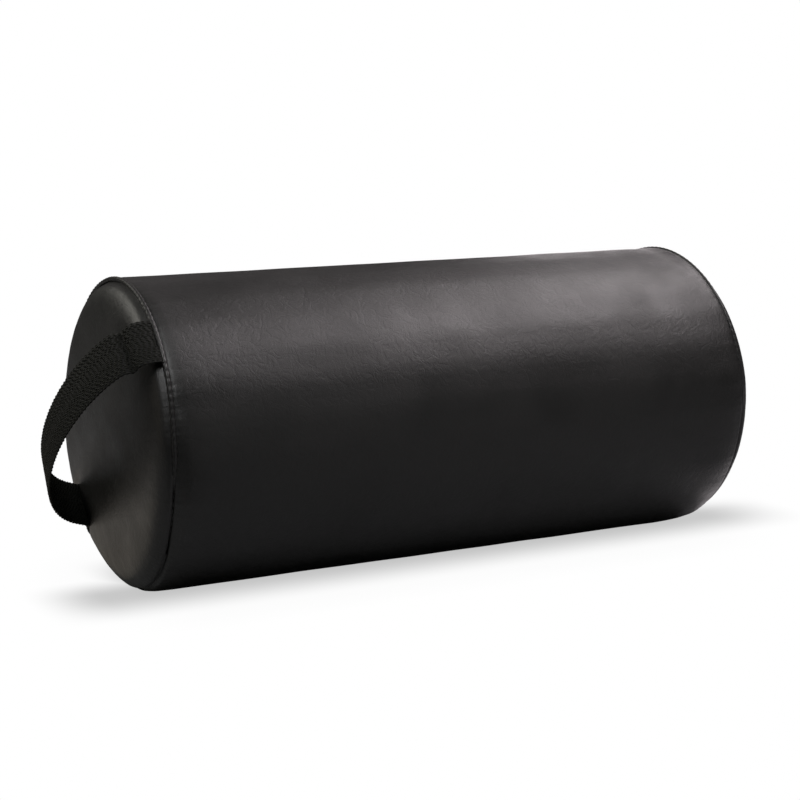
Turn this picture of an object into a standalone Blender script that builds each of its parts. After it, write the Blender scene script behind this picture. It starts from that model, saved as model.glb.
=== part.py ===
# Round yoga bolster: a foam core in wadding, a sewn cover with a zip, and a webbing handle on one end.
# +X runs along the bolster and away from its handle. The origin is the middle of the flat strip it lies on.

import math
from collections import namedtuple

import bmesh
import bpy
from mathutils import Matrix, Vector

# Whole bolster, in metres
bolster_radius = 0.115
bolster_length = 0.500  # from rim to rim, without the domes
floor_flat_depth = 0.0010  # how deep the round side is pressed flat where it lies
clearance = 0.0003  # between pieces that touch

# Sewn cover
leather_thickness = 0.0012
shoulder_length = 0.026  # how far in from a seam the side starts to be drawn in
welt_radius = 0.0020
handle_seam_inset = 0.0075  # from the rim's plane to the seam
handle_seam_drop = 0.0025  # how far below the full radius the seam lies
handle_dome = 0.0040
plain_seam_inset = 0.0090
plain_seam_drop = 0.0030
plain_dome = 0.0040
rim_roll_power = 14  # higher is a tighter turn from the end panel to its seam
handle_end_slump = 0.0080  # how far the handle end's lowest edge is drawn in
handle_end_lean_up = math.radians(1.03)  # of the handle end's plane, its top inwards
handle_end_lean_back = math.radians(0.92)  # its back inwards
plain_end_draw = 0.0055  # how far the plain end's top and bottom are drawn in

# Filling
wadding_thickness = 0.006

# Webbing handle
webbing_width = 0.036
webbing_thickness = 0.0016
webbing_edge = 0.0006  # how far the woven edges taper
handle_angle = math.radians(135.3)  # of the upper root, round +X from +Y
handle_rise = 0.0558  # highest point of the loop above its hinge line
handle_sag = 0.0087  # how far the loop hangs to one side
handle_sag_power = 1.5  # over 1 lets the webbing leave the seam squarely
handle_twist = math.radians(-5.5)
hinge_inset = 0.0056  # from the rim's plane to the hinge line
lower_root_inset = 0.0382  # from the seam to where the loop starts to swing, along the hinge line
upper_root_inset = 0.0042
# The loop's middle line is one Bezier curve: along the hinge line as a share of its half length,
# and off it as a share of the rise.
handle_controls = (
    (-1.00, -0.03),
    (-0.72, 0.02),
    (-0.65, 0.30),
    (-0.77, 0.72),
    (-0.35, 1.27),
    (0.45, 1.51),
    (1.21, 0.49),
    (1.00, 0.03),
)

# Zip, lengthwise at the back
zip_angle = math.radians(12)  # round +X from +Y
zip_inset = 0.050  # from each rim's plane to the end of the coil
slit_half_width = 0.0052
tape_width = 0.0140
tape_thickness = 0.0006
tape_inner_edge = 0.0020  # from the zip's middle line
tape_overrun = 0.012  # past each end of the coil
coil_inner_edge = 0.0006
coil_width = 0.0026
coil_height = 0.0018
stop_length = 0.0030
stop_height = 0.0024
stop_side = 0.0004  # how much wider than the coil
slider_length = 0.0110
slider_plate = 0.0012
slider_wall = 0.0010
slider_web = 0.0003  # half the thickness of the wedge between the coils
slider_side_clearance = 0.0004
bail_length = 0.0060
bail_height = 0.0032
bail_width = 0.0016
bail_bar = 0.0009
pull_pin_radius = 0.00045
pull_length = 0.0240
pull_width = 0.0062
pull_thickness = 0.0010
pull_arm_width = 0.0010
pull_side_clearance = 0.0004
pull_end_clearance = 0.0005

# Fineness of the round shapes
sharp_angle = math.radians(35)  # steeper edges than this are shaded sharp
round_steps = 60
shoulder_steps = 4
welt_sides = 6
handle_steps = 48
pin_sides = 8
tape_steps = 4
panel_shares = (0, 0.5, 0.8, 0.92, 1)  # where an end panel's rings lie, as shares of its radius

# Places that follow from the sizes
half_length = bolster_length / 2
zip_length = bolster_length - 2 * zip_inset
axis_height = bolster_radius - floor_flat_depth
cover_inner_radius = bolster_radius - leather_thickness
wadding_radius = cover_inner_radius - clearance
core_radius = wadding_radius - wadding_thickness - clearance
welt_gap = welt_radius + clearance
tape_outer_radius = cover_inner_radius - clearance
tape_inner_radius = tape_outer_radius - tape_thickness
coil_base_radius = tape_outer_radius + clearance
coil_top_radius = coil_base_radius + coil_height
coil_outer_edge = coil_inner_edge + coil_width
slider_top_base = coil_top_radius + clearance
slider_top = slider_top_base + slider_plate
slider_bottom_top = tape_inner_radius - clearance
slider_bottom = slider_bottom_top - slider_plate
slider_half_width = coil_outer_edge + slider_side_clearance + slider_wall
slider_home = zip_length / 2 - slider_length / 2 - clearance
pull_axis_radius = slider_top + bail_height / 2

End = namedtuple("End", "side seam_inset seam_drop dome")
handle_end = End(-1, handle_seam_inset, handle_seam_drop, handle_dome)
plain_end = End(1, plain_seam_inset, plain_seam_drop, plain_dome)
handle_half_span = bolster_radius - handle_seam_drop - welt_gap


def clear_scene():
    for old in list(bpy.data.objects):
        bpy.data.objects.remove(old, do_unlink=True)


def make_finish(name, colour, roughness, metallic=0.0):
    material = bpy.data.materials.new(name)
    material.use_nodes = True
    shader = material.node_tree.nodes["Principled BSDF"]
    shader.inputs["Base Color"].default_value = (*colour, 1.0)
    shader.inputs["Roughness"].default_value = roughness
    shader.inputs["Metallic"].default_value = metallic
    return material


def make_empty(name, location, rotation=None, parent=None):
    empty = bpy.data.objects.new(name, None)
    bpy.context.scene.collection.objects.link(empty)
    empty.parent = parent
    turn = rotation.to_4x4() if rotation else Matrix.Identity(4)
    empty.matrix_local = Matrix.Translation(location) @ turn
    return empty


def make_object(name, bm, finish, parent, location=(0, 0, 0)):
    bmesh.ops.recalc_face_normals(bm, faces=bm.faces)
    mesh = bpy.data.meshes.new(name)
    bm.to_mesh(mesh)
    bm.free()
    mesh.shade_smooth()
    mesh.set_sharp_from_angle(angle=sharp_angle)
    piece = bpy.data.objects.new(name, mesh)
    bpy.context.scene.collection.objects.link(piece)
    piece.parent = parent
    piece.location = location
    if finish:
        mesh.materials.append(finish)
    return piece


def as_cutter(piece):
    piece.hide_render = True
    piece.display_type = "WIRE"
    return piece


def cut_away(piece, cutter):
    cut = piece.modifiers.new("Cut " + cutter.name, "BOOLEAN")
    cut.operation = "DIFFERENCE"
    cut.object = cutter


def join_on(piece, other):
    joined = piece.modifiers.new("Join " + other.name, "BOOLEAN")
    joined.operation = "UNION"
    joined.object = other


# Round layers, turned about the bolster's own axis
def seam_radius(end):
    return bolster_radius - end.seam_drop


def seam_distance(end):
    return half_length - end.seam_inset


def cover_radius(end, distance):
    """Outer radius of the side panel at this distance from the middle, drawn in towards the seam."""
    along = (seam_distance(end) - distance) / shoulder_length
    inward = 1 - min(max(along, 0.0), 1.0)
    return bolster_radius - end.seam_drop * inward**2


def end_distance(end, radius):
    """How far from the middle the end panel's outer face stands: domed, and rolled over at the rim."""
    share = radius / seam_radius(end)
    return half_length + end.dome * (1 - share**2) - end.seam_inset * share**rim_roll_power


def panel_radii(end):
    return [(seam_radius(end) - welt_gap) * share for share in panel_shares]


def filling_distance(end):
    """Where the core and its wadding stop, just short of the welt."""
    return seam_distance(end) - welt_gap


def ring_angles():
    """Even steps round the axis, with the first and last at the two edges of the flat strip."""
    half_flat = math.acos(1 - floor_flat_depth / bolster_radius)
    first = half_flat - math.pi / 2
    span = 2 * (math.pi - half_flat)
    return [first + span * step / (round_steps - 1) for step in range(round_steps)]


def settle(point):
    """Shapes the two ends: one leans and is drawn in below, the other is drawn in above and below."""
    reach = min(abs(point.x) / half_length, 1.0) ** 2
    height = point.z / bolster_radius
    if point.x < 0:
        lean = math.tan(handle_end_lean_up) * point.z + math.tan(handle_end_lean_back) * point.y
        shift = lean + handle_end_slump * min(height, 0.0) ** 2
    else:
        shift = -plain_end_draw * height**2
    return Vector((point.x + reach * shift, point.y, point.z))


def turned(name, profile, finish, parent, closed):
    """Turns (x, radius, crown) points about the axis; nothing reaches below its crown's own flat."""
    bm = bmesh.new()
    rings = []
    for x, radius, crown in profile:
        if radius == 0:
            rings.append([bm.verts.new(settle(Vector((x, 0, 0))))])
            continue
        lowest = floor_flat_depth - crown
        ring = []
        for angle in ring_angles():
            height = max(radius * math.sin(angle), lowest)
            ring.append(bm.verts.new(settle(Vector((x, radius * math.cos(angle), height)))))
        rings.append(ring)
    pairs = list(zip(rings, rings[1:]))
    if closed:
        pairs.append((rings[-1], rings[0]))
    for ring, following in pairs:
        for step in range(round_steps):
            after = (step + 1) % round_steps
            corners = [ring[step % len(ring)], ring[after % len(ring)]]
            corners += [following[after % len(following)], following[step % len(following)]]
            bm.faces.new(list(dict.fromkeys(corners)))
    return make_object(name, bm, finish, parent)


def side_stations(reach_handle, reach_plain):
    """Places along the side, close together where it is drawn in: (signed x, its end)."""
    stations = []
    for end, reach in ((handle_end, reach_handle), (plain_end, reach_plain)):
        start = seam_distance(end) - shoulder_length
        distances = [start + (reach - start) * step / shoulder_steps for step in range(shoulder_steps + 1)]
        stations += [(end.side * distance, end) for distance in distances]
    return sorted(stations, key=lambda station: station[0])


def side_line(reach_handle, reach_plain, inward):
    crown = bolster_radius - inward
    stations = side_stations(reach_handle, reach_plain)
    return [(x, cover_radius(end, abs(x)) - inward, crown) for x, end in stations]


def make_side_panel(finish, parent):
    handle_reach = seam_distance(handle_end) - welt_gap
    plain_reach = seam_distance(plain_end) - welt_gap
    outer = side_line(handle_reach, plain_reach, 0)
    inner = side_line(handle_reach, plain_reach, leather_thickness)
    return turned("side_panel", outer + inner[::-1], finish, parent, closed=True)


def make_end_panel(name, end, finish, parent):
    outer = []
    inner = []
    for radius in panel_radii(end):
        distance = end_distance(end, radius)
        outer.append((end.side * distance, radius, bolster_radius))
        inner.append((end.side * (distance - leather_thickness), radius, bolster_radius))
    return turned(name, outer + inner[::-1], finish, parent, closed=False)


def make_welt(name, end, finish, parent):
    profile = []
    for side in range(welt_sides):
        angle = 2 * math.pi * (side + 0.5) / welt_sides
        x = end.side * seam_distance(end) + welt_radius * math.cos(angle)
        radius = seam_radius(end) + welt_radius * math.sin(angle)
        profile.append((x, radius, bolster_radius))
    return turned(name, profile, finish, parent, closed=True)


def make_wadding_wrap(finish, parent):
    handle_reach = filling_distance(handle_end)
    plain_reach = filling_distance(plain_end)
    outer = side_line(handle_reach, plain_reach, bolster_radius - wadding_radius)
    bore = core_radius + clearance
    inner = [(plain_reach, bore, bore), (-handle_reach, bore, bore)]
    return turned("wadding_wrap", outer + inner, finish, parent, closed=True)


def make_foam_core(finish, parent):
    low = -filling_distance(handle_end)
    high = filling_distance(plain_end)
    profile = [(low, 0, core_radius), (low, core_radius, core_radius)]
    profile += [(high, core_radius, core_radius), (high, 0, core_radius)]
    return turned("foam_core", profile, finish, parent, closed=False)


def make_end_wadding(name, end, finish, parent):
    """Fills the space from the core to the domed end panel, as far out as that panel starts to roll over."""
    seat = end.side * (filling_distance(end) + clearance)
    radii = panel_radii(end)[:-1]
    profile = [(seat, 0, core_radius), (seat, radii[-1], core_radius)]
    for radius in reversed(radii):
        distance = end_distance(end, radius) - leather_thickness - clearance
        profile.append((end.side * distance, radius, core_radius))
    return turned(name, profile, finish, parent, closed=False)


# Webbing handle, in a frame whose X is the hinge line and whose Z stands out from the end
def bezier_point(points, share):
    while len(points) > 1:
        points = [near.lerp(far, share) for near, far in zip(points, points[1:])]
    return points[0]


def handle_turn():
    along = Vector((0, math.cos(handle_angle), math.sin(handle_angle)))
    outward = Vector((-1, 0, 0))
    return Matrix((along, outward.cross(along), outward)).transposed()


def height_on_panel(along, across):
    """Height above the hinge line at which the middle of the webbing's thickness lies on the end panel."""
    place = handle_turn() @ Vector((along, across, 0))
    radius = min(place.length, seam_radius(handle_end))
    panel = settle(Vector((-end_distance(handle_end, radius), place.y, place.z)))
    nearby = radius - webbing_thickness
    slope = (end_distance(handle_end, nearby) - end_distance(handle_end, radius)) / webbing_thickness
    lift = (webbing_thickness / 2 + 3 * clearance) * math.hypot(1, slope)
    return hinge_inset - half_length - panel.x + lift


def handle_line():
    """Middle of the webbing, from its lower root, which lies on the end panel, to its upper one."""
    controls = [Vector((along * handle_half_span, 0, off * handle_rise)) for along, off in handle_controls]
    line = []
    for step in range(handle_steps + 1):
        share = step / handle_steps
        point = bezier_point(controls, share)
        point.y = -handle_sag * max(math.sin(math.pi * share), 0.0) ** handle_sag_power
        if share < 0.5:
            edges = (point.y - webbing_width / 2, point.y, point.y + webbing_width / 2)
            point.z = max(point.z, *[height_on_panel(point.x, across) for across in edges])
        line.append(point)
    return line


def webbing_mesh():
    line = handle_line()
    flat = webbing_width / 2 - webbing_edge
    deep = webbing_thickness / 2
    outline = ((webbing_width / 2, 0), (flat, deep), (-flat, deep))
    outline += tuple((-across, -through) for across, through in outline)
    bm = bmesh.new()
    rings = []
    for step, point in enumerate(line):
        ahead = line[min(step + 1, handle_steps)] - line[max(step - 1, 0)]
        tangent = ahead.normalized()
        across = Vector((0, 1, 0))
        across = (across - tangent * across.dot(tangent)).normalized()
        turn = handle_twist * math.sin(math.pi * step / handle_steps)
        across = Matrix.Rotation(turn, 3, tangent) @ across
        through = tangent.cross(across)
        rings.append([bm.verts.new(point + across * a + through * b) for a, b in outline])
    for ring, following in zip(rings, rings[1:]):
        for step in range(len(outline)):
            after = (step + 1) % len(outline)
            bm.faces.new((ring[step], ring[after], following[after], following[step]))
    bm.faces.new(rings[0])
    bm.faces.new(rings[-1])
    return bm


def webbing_piece(name, low, high, finish, parent):
    """The stretch of webbing from low to high along the hinge line, cut square to that line."""
    bm = webbing_mesh()
    for place, facing in ((low, -1), (high, 1)):
        if place is None:
            continue
        everything = bm.verts[:] + bm.edges[:] + bm.faces[:]
        found = bmesh.ops.bisect_plane(
            bm, geom=everything, plane_co=(place, 0, 0), plane_no=(facing, 0, 0), clear_outer=True
        )
        rim = [edge for edge in found["geom_cut"] if isinstance(edge, bmesh.types.BMEdge)]
        bmesh.ops.contextual_create(bm, geom=rim)
    return make_object(name, bm, finish, parent)


def make_end_seat(parent):
    """The space of the end panel and its welt, with clearance: each root stops short of it."""
    radii = panel_radii(handle_end)
    profile = []
    for radius in radii:
        face = -end_distance(handle_end, radius) - 2 * clearance
        profile.append((face, radius, bolster_radius))
    welt_face = -seam_distance(handle_end) - welt_gap
    beyond = bolster_radius + welt_radius
    profile += [(welt_face, radii[-1], bolster_radius), (welt_face, beyond, bolster_radius)]
    profile += [(0, beyond, bolster_radius), (0, 0, bolster_radius)]
    return as_cutter(turned("end_seat_cutter", profile, None, parent, closed=False))


def make_handle(finish, parent):
    hinge = make_empty("handle_hinge", (hinge_inset - half_length, 0, 0), handle_turn(), parent)
    low = lower_root_inset - handle_half_span
    high = handle_half_span - upper_root_inset
    webbing_piece("handle_loop", low, high, finish, hinge)
    roots = (
        webbing_piece("handle_root_lower", None, low - clearance, finish, hinge),
        webbing_piece("handle_root_upper", high + clearance, None, finish, hinge),
    )
    seat = make_end_seat(parent)
    for root in roots:
        cut_away(root, seat)


# Zip, in a frame whose X is the bolster's axis and whose Z points out at the zip
def arc_strip(name, x_range, across_range, radius_range, steps, finish, parent):
    """A strip that follows the round side: across is measured along the side from the zip's middle."""
    low_x, high_x = x_range
    inner, outer = radius_range
    section = ((low_x, inner), (high_x, inner), (high_x, outer), (low_x, outer))
    bm = bmesh.new()
    rings = []
    for step in range(steps + 1):
        across = across_range[0] + (across_range[1] - across_range[0]) * step / steps
        angle = across / bolster_radius
        rings.append([bm.verts.new((x, r * math.sin(angle), r * math.cos(angle))) for x, r in section])
    for ring, following in zip(rings, rings[1:]):
        for corner in range(4):
            after = (corner + 1) % 4
            bm.faces.new((ring[corner], ring[after], following[after], following[corner]))
    bm.faces.new(rings[0])
    bm.faces.new(rings[-1])
    return make_object(name, bm, finish, parent)


def both_ways(low, high, side):
    return tuple(sorted((low * side, high * side)))


def block(name, low, high, finish, parent, location=(0, 0, 0)):
    bm = bmesh.new()
    bmesh.ops.create_cube(bm, size=1)
    for vert in bm.verts:
        shares = [part + 0.5 for part in vert.co]
        vert.co = [a + (b - a) * share for a, b, share in zip(low, high, shares)]
    return make_object(name, bm, finish, parent, location)


def make_zip_rows(tape_finish, coil_finish, stop_finish, parent):
    half_zip = zip_length / 2
    half_tape = half_zip + tape_overrun
    stop_edges = (coil_inner_edge - stop_side / 2, coil_outer_edge + stop_side)
    stop_radii = (coil_base_radius, coil_base_radius + stop_height)
    stop_start = half_zip + clearance
    for row, side in (("upper", -1), ("lower", 1)):
        tape_edges = both_ways(tape_inner_edge, tape_inner_edge + tape_width, side)
        tape_radii = (tape_inner_radius, tape_outer_radius)
        tape_ends = (-half_tape, half_tape)
        arc_strip("zip_tape_" + row, tape_ends, tape_edges, tape_radii, tape_steps, tape_finish, parent)
        coil_edges = both_ways(coil_inner_edge, coil_outer_edge, side)
        coil_radii = (coil_base_radius, coil_top_radius)
        arc_strip("zip_coil_" + row, (-half_zip, half_zip), coil_edges, coil_radii, 1, coil_finish, parent)
        edges = both_ways(*stop_edges, side)
        ends = (stop_start, stop_start + stop_length)
        arc_strip("zip_top_stop_" + row, ends, edges, stop_radii, 1, stop_finish, parent)
    across = (-stop_edges[1], stop_edges[1])
    ends = (-stop_start - stop_length, -stop_start)
    arc_strip("zip_bottom_stop", ends, across, stop_radii, 2, stop_finish, parent)


def make_zip_slider(finish, parent):
    """Top plate with side walls, bottom plate, and the wedge that joins them between the coils."""
    wall_bottom = coil_base_radius + clearance
    inside = slider_half_width - slider_wall
    right = [
        (slider_half_width, slider_top),
        (slider_half_width, wall_bottom),
        (inside, wall_bottom),
        (inside, slider_top_base),
        (slider_web, slider_top_base),
        (slider_web, slider_bottom_top),
        (slider_half_width, slider_bottom_top),
        (slider_half_width, slider_bottom),
    ]
    outline = right + [(-across, height) for across, height in reversed(right)]
    half = slider_length / 2
    bm = bmesh.new()
    back = [bm.verts.new((-half, across, height - pull_axis_radius)) for across, height in outline]
    front = [bm.verts.new((half, vert.co.y, vert.co.z)) for vert in back]
    for step in range(len(outline)):
        after = (step + 1) % len(outline)
        bm.faces.new((back[step], back[after], front[after], front[step]))
    bm.faces.new(back)
    bm.faces.new(front)
    slider = make_object("zip_slider", bm, finish, parent, (slider_home, 0, pull_axis_radius))
    half_bail = bail_length / 2
    base = slider_top - pull_axis_radius
    sunk = base - slider_plate / 2
    low = (-half_bail, -bail_width / 2, sunk)
    high = (half_bail, bail_width / 2, base + bail_height)
    bail = as_cutter(block("bail_block", low, high, None, slider))
    low = (bail_bar - half_bail, -bail_width, base)
    high = (half_bail - bail_bar, bail_width, base + bail_height - bail_bar)
    bail_hole = as_cutter(block("bail_hole", low, high, None, slider))
    cut_away(bail, bail_hole)
    join_on(slider, bail)
    return slider


def make_zip_pull(finish, parent):
    """A tab with two arms and a pin through the bail; its own origin is the pin's middle."""
    half_bail = bail_length / 2
    corner = math.hypot(half_bail, bail_height / 2)
    tab_start = corner + pull_end_clearance
    arm_inner = bail_width / 2 + pull_side_clearance
    arm_outer = arm_inner + pull_arm_width
    half_thick = pull_thickness / 2
    low = (tab_start, -pull_width / 2, -half_thick)
    high = (pull_length, pull_width / 2, half_thick)
    pull = block("zip_pull", low, high, finish, parent)
    for side, word in ((-1, "low"), (1, "high")):
        edges = both_ways(arm_inner, arm_outer, side)
        low = (-pull_pin_radius, edges[0], -half_thick)
        high = (tab_start + pull_arm_width, edges[1], half_thick)
        join_on(pull, as_cutter(block("pull_arm_" + word, low, high, None, pull)))
    bm = bmesh.new()
    turn = Matrix.Rotation(math.pi / 2, 4, "X")
    length = 2 * arm_inner + pull_arm_width
    bmesh.ops.create_cone(
        bm, cap_ends=True, segments=pin_sides, radius1=pull_pin_radius,
        radius2=pull_pin_radius, depth=length, matrix=turn,
    )
    join_on(pull, as_cutter(make_object("pull_pin", bm, None, pull)))
    return pull


def open_for_zip(side_panel, wadding, parent):
    """The slit in the cover, and the hollows in the wadding under the tapes and the slider."""
    half_slit = zip_length / 2 + stop_length + 2 * clearance
    beyond = bolster_radius + leather_thickness
    half_width = slit_half_width
    slit = arc_strip(
        "slit_cutter", (-half_slit, half_slit), (-half_width, half_width),
        (wadding_radius - leather_thickness, beyond), 2, None, parent,
    )
    half_tape = zip_length / 2 + tape_overrun + clearance
    half_width = tape_inner_edge + tape_width + clearance
    tape_hollow = arc_strip(
        "tape_hollow_cutter", (-half_tape, half_tape), (-half_width, half_width),
        (tape_inner_radius - clearance, beyond), tape_steps, None, parent,
    )
    half_width = slider_half_width + slider_side_clearance
    channel = arc_strip(
        "slider_channel_cutter", (-half_slit, half_slit), (-half_width, half_width),
        (slider_bottom - clearance, beyond), 2, None, parent,
    )
    cut_away(side_panel, as_cutter(slit))
    cut_away(wadding, as_cutter(tape_hollow))
    cut_away(wadding, as_cutter(channel))


def make_bolster():
    leather = make_finish("black_leather", (0.020, 0.020, 0.019), 0.42)
    webbing = make_finish("black_webbing", (0.014, 0.015, 0.013), 0.85)
    wadding = make_finish("white_wadding", (0.85, 0.84, 0.80), 0.95)
    foam = make_finish("cream_foam", (0.80, 0.74, 0.55), 0.90)
    tape = make_finish("black_tape", (0.016, 0.016, 0.016), 0.80)
    nylon = make_finish("black_nylon", (0.022, 0.022, 0.022), 0.45)
    metal = make_finish("dark_metal", (0.16, 0.16, 0.16), 0.35, metallic=1.0)

    axis = make_empty("bolster_axis", (0, 0, axis_height))
    make_foam_core(foam, axis)
    wrap = make_wadding_wrap(wadding, axis)
    side_panel = make_side_panel(leather, axis)
    for word, end in (("handle_end", handle_end), ("plain_end", plain_end)):
        make_end_wadding(word + "_wadding", end, wadding, axis)
        make_end_panel(word + "_panel", end, leather, axis)
        make_welt(word + "_welt", end, leather, axis)
    make_handle(webbing, axis)

    zip_turn = Matrix.Rotation(zip_angle - math.pi / 2, 3, "X")
    zip_frame = make_empty("zip_frame", (0, 0, 0), zip_turn, axis)
    open_for_zip(side_panel, wrap, zip_frame)
    make_zip_rows(tape, nylon, metal, zip_frame)
    slider = make_zip_slider(metal, zip_frame)
    make_zip_pull(metal, slider)


clear_scene()
make_bolster()
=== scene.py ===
# Round yoga bolster in black leatherette: padded cover, stitched seam beads, woven handle, zip at the back.
# Metres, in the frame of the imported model: +X away from the handle, +Y towards the zip, the floor at z = 0.
import math

import bmesh
import bpy
import numpy as np
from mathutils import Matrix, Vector, noise


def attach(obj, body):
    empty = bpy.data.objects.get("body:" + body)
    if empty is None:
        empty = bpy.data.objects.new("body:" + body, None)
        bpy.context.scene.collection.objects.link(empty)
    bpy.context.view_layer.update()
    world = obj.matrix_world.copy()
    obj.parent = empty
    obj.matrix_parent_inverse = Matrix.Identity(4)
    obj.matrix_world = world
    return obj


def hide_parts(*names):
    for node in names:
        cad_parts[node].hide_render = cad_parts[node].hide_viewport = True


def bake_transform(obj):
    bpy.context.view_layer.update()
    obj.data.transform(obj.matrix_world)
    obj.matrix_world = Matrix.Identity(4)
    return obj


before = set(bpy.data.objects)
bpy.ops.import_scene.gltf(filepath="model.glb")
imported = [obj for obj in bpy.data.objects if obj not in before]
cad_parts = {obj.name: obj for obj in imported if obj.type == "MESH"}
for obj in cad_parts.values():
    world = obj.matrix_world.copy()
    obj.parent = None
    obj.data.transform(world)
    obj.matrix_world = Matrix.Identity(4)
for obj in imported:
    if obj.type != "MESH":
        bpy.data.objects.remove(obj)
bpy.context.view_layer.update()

# Main sizes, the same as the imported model's
bolster = {"radius": 0.115, "halfLength": 0.250, "axisHeight": 0.114, "shoulder": 0.026}
handleEnd = {"word": "handle_end", "side": -1, "seamInset": 0.0075, "seamDrop": 0.0025,
             "dome": 0.0040, "full": 0.0035}
plainEnd = {"word": "plain_end", "side": 1, "seamInset": 0.0090, "seamDrop": 0.0030,
            "dome": 0.0040, "full": 0.0030}
endShape = {
    "rollPower": 16,
    "slump": 0.0080,  # how far the handle end's lowest edge is drawn in
    "leanUp": math.radians(1.03),
    "leanBack": math.radians(0.92),
    "plainDraw": 0.0040,  # how far the plain end's top is drawn in
    "plainDrawBelow": 0.0005,
    "floorTurn": 0.0007,  # how softly the padding turns into its flat strip
}


def smooth(value):
    value = np.clip(value, 0.0, 1.0)
    return value * value * (3 - 2 * value)


# From 0 to 1 over a length from a start; with a negative length the other way
def fade(value, start, length):
    return smooth((value - start) / length)


def hump(value, width):
    return np.exp(-((value / width) ** 2))


# Even angles all the way round
def roundAngles(count, shift=0.0):
    return math.tau * (np.arange(count) + shift) / count


# How far along a line each of its points lies
def travelled(line):
    return np.concatenate([[0.0], np.cumsum(np.linalg.norm(np.diff(line, axis=0), axis=1))])


def mix(low, high, share):
    return low + (high - low) * share


def seamRadius(end):
    return bolster["radius"] - end["seamDrop"]


def seamDistance(end):
    return bolster["halfLength"] - end["seamInset"]


def panelDistance(end, radius):
    share = radius / seamRadius(end)
    domed = end["full"] + end["dome"] * (1 - share**2)
    return bolster["halfLength"] + domed - (end["full"] + end["seamInset"]) * share ** endShape["rollPower"]


def sideRadius(end, fromSeam):
    inward = 1 - np.clip(fromSeam / bolster["shoulder"], 0.0, 1.0)
    return bolster["radius"] - end["seamDrop"] * inward**2


# Leans and slumps the ends as they lie. Points are rows of x, y, z measured from the bolster's axis.
def settle(points):
    x, y, z = points.T
    reach = np.minimum(np.abs(x) / bolster["halfLength"], 1.0) ** 2
    height = z / bolster["radius"]
    lean = math.tan(endShape["leanUp"]) * z + math.tan(endShape["leanBack"]) * y
    handleShift = lean + endShape["slump"] * np.minimum(height, 0.0) ** 2
    plainShift = -np.where(height > 0, endShape["plainDraw"], endShape["plainDrawBelow"]) * height**2
    return np.stack([x + reach * np.where(x < 0, handleShift, plainShift), y, z], 1)


# The padding gives where it lies, with a soft turn into the flat strip
def restOnFloor(points):
    turn = endShape["floorTurn"]
    depth = points[:, 2] + bolster["axisHeight"]
    eased = np.where(depth > turn, depth, np.where(depth < -turn, 0.0, (depth + turn) ** 2 / (4 * turn)))
    points[:, 2] = eased - bolster["axisHeight"]
    return points


def inFrame(points):
    return points + np.array([0.0, 0.0, bolster["axisHeight"]])


def addObject(name, data):
    made = bpy.data.objects.new(name, data)
    bpy.context.scene.collection.objects.link(made)
    return made


def addPiece(name, points, faces, material=None, smoothShading=True):
    mesh = bpy.data.meshes.new(name)
    mesh.from_pydata([tuple(p) for p in points], [], [tuple(f) for f in faces])
    mesh.validate()
    if material:
        mesh.materials.append(material)
    if smoothShading:
        mesh.shade_smooth()
    return addObject(name, mesh)


# The piece as its modifiers leave it
def evaluated(piece):
    return piece.evaluated_get(bpy.context.evaluated_depsgraph_get())


def outsideOut(piece):
    bm = bmesh.new()
    bm.from_mesh(piece.data)
    bmesh.ops.remove_doubles(bm, verts=bm.verts, dist=1e-7)
    bmesh.ops.recalc_face_normals(bm, faces=bm.faces)
    bm.to_mesh(piece.data)
    bm.free()
    return piece


# Faces between rings of points that follow one another
def tubeFaces(rings, size, closed=False, caps=True):
    faces = []
    for k in range(rings if closed else rings - 1):
        here, after = k * size, (k + 1) % rings * size
        faces += [(here + j, here + (j + 1) % size, after + (j + 1) % size, after + j) for j in range(size)]
    if caps and not closed:
        faces += [tuple(range(size))[::-1], tuple((rings - 1) * size + j for j in range(size))]
    return faces


# Node helpers
def addNode(tree, kind, inputs=None, **settings):
    node = tree.nodes.new(kind)
    for name, value in settings.items():
        setattr(node, name, value)
    for socket, value in (inputs or {}).items():
        if isinstance(value, bpy.types.NodeSocket):
            tree.links.new(value, node.inputs[socket])
        else:
            node.inputs[socket].default_value = value
    return node


def firstOf(tree, kind, inputs=None, **settings):
    return addNode(tree, kind, inputs, **settings).outputs[0]


def mathNode(tree, operation, first, second=0.0, third=0.0):
    return firstOf(tree, "ShaderNodeMath", {0: first, 1: second, 2: third}, operation=operation)


def rangeNode(tree, value, fromLow, fromHigh, toLow=0.0, toHigh=1.0, **settings):
    inputs = {"Value": value, "From Min": fromLow, "From Max": fromHigh, "To Min": toLow, "To Max": toHigh}
    return firstOf(tree, "ShaderNodeMapRange", inputs, **settings)


def noiseNode(tree, vector, scale, detail=3.0, rough=0.5, distortion=0.0, seed=None):
    inputs = {"Vector": vector, "Scale": scale, "Detail": detail, "Roughness": rough,
              "Distortion": distortion}
    if seed is None:
        return firstOf(tree, "ShaderNodeTexNoise", inputs)
    return firstOf(tree, "ShaderNodeTexNoise", {**inputs, "W": seed}, noise_dimensions="4D")


def splitParts(tree, vector):
    return addNode(tree, "ShaderNodeSeparateXYZ", {0: vector}).outputs


def joinParts(tree, x, y, z):
    return firstOf(tree, "ShaderNodeCombineXYZ", {0: x, 1: y, 2: z})


def feed(tree, sockets, values):
    for name, value in values.items():
        tree.links.new(value, sockets[name])


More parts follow.
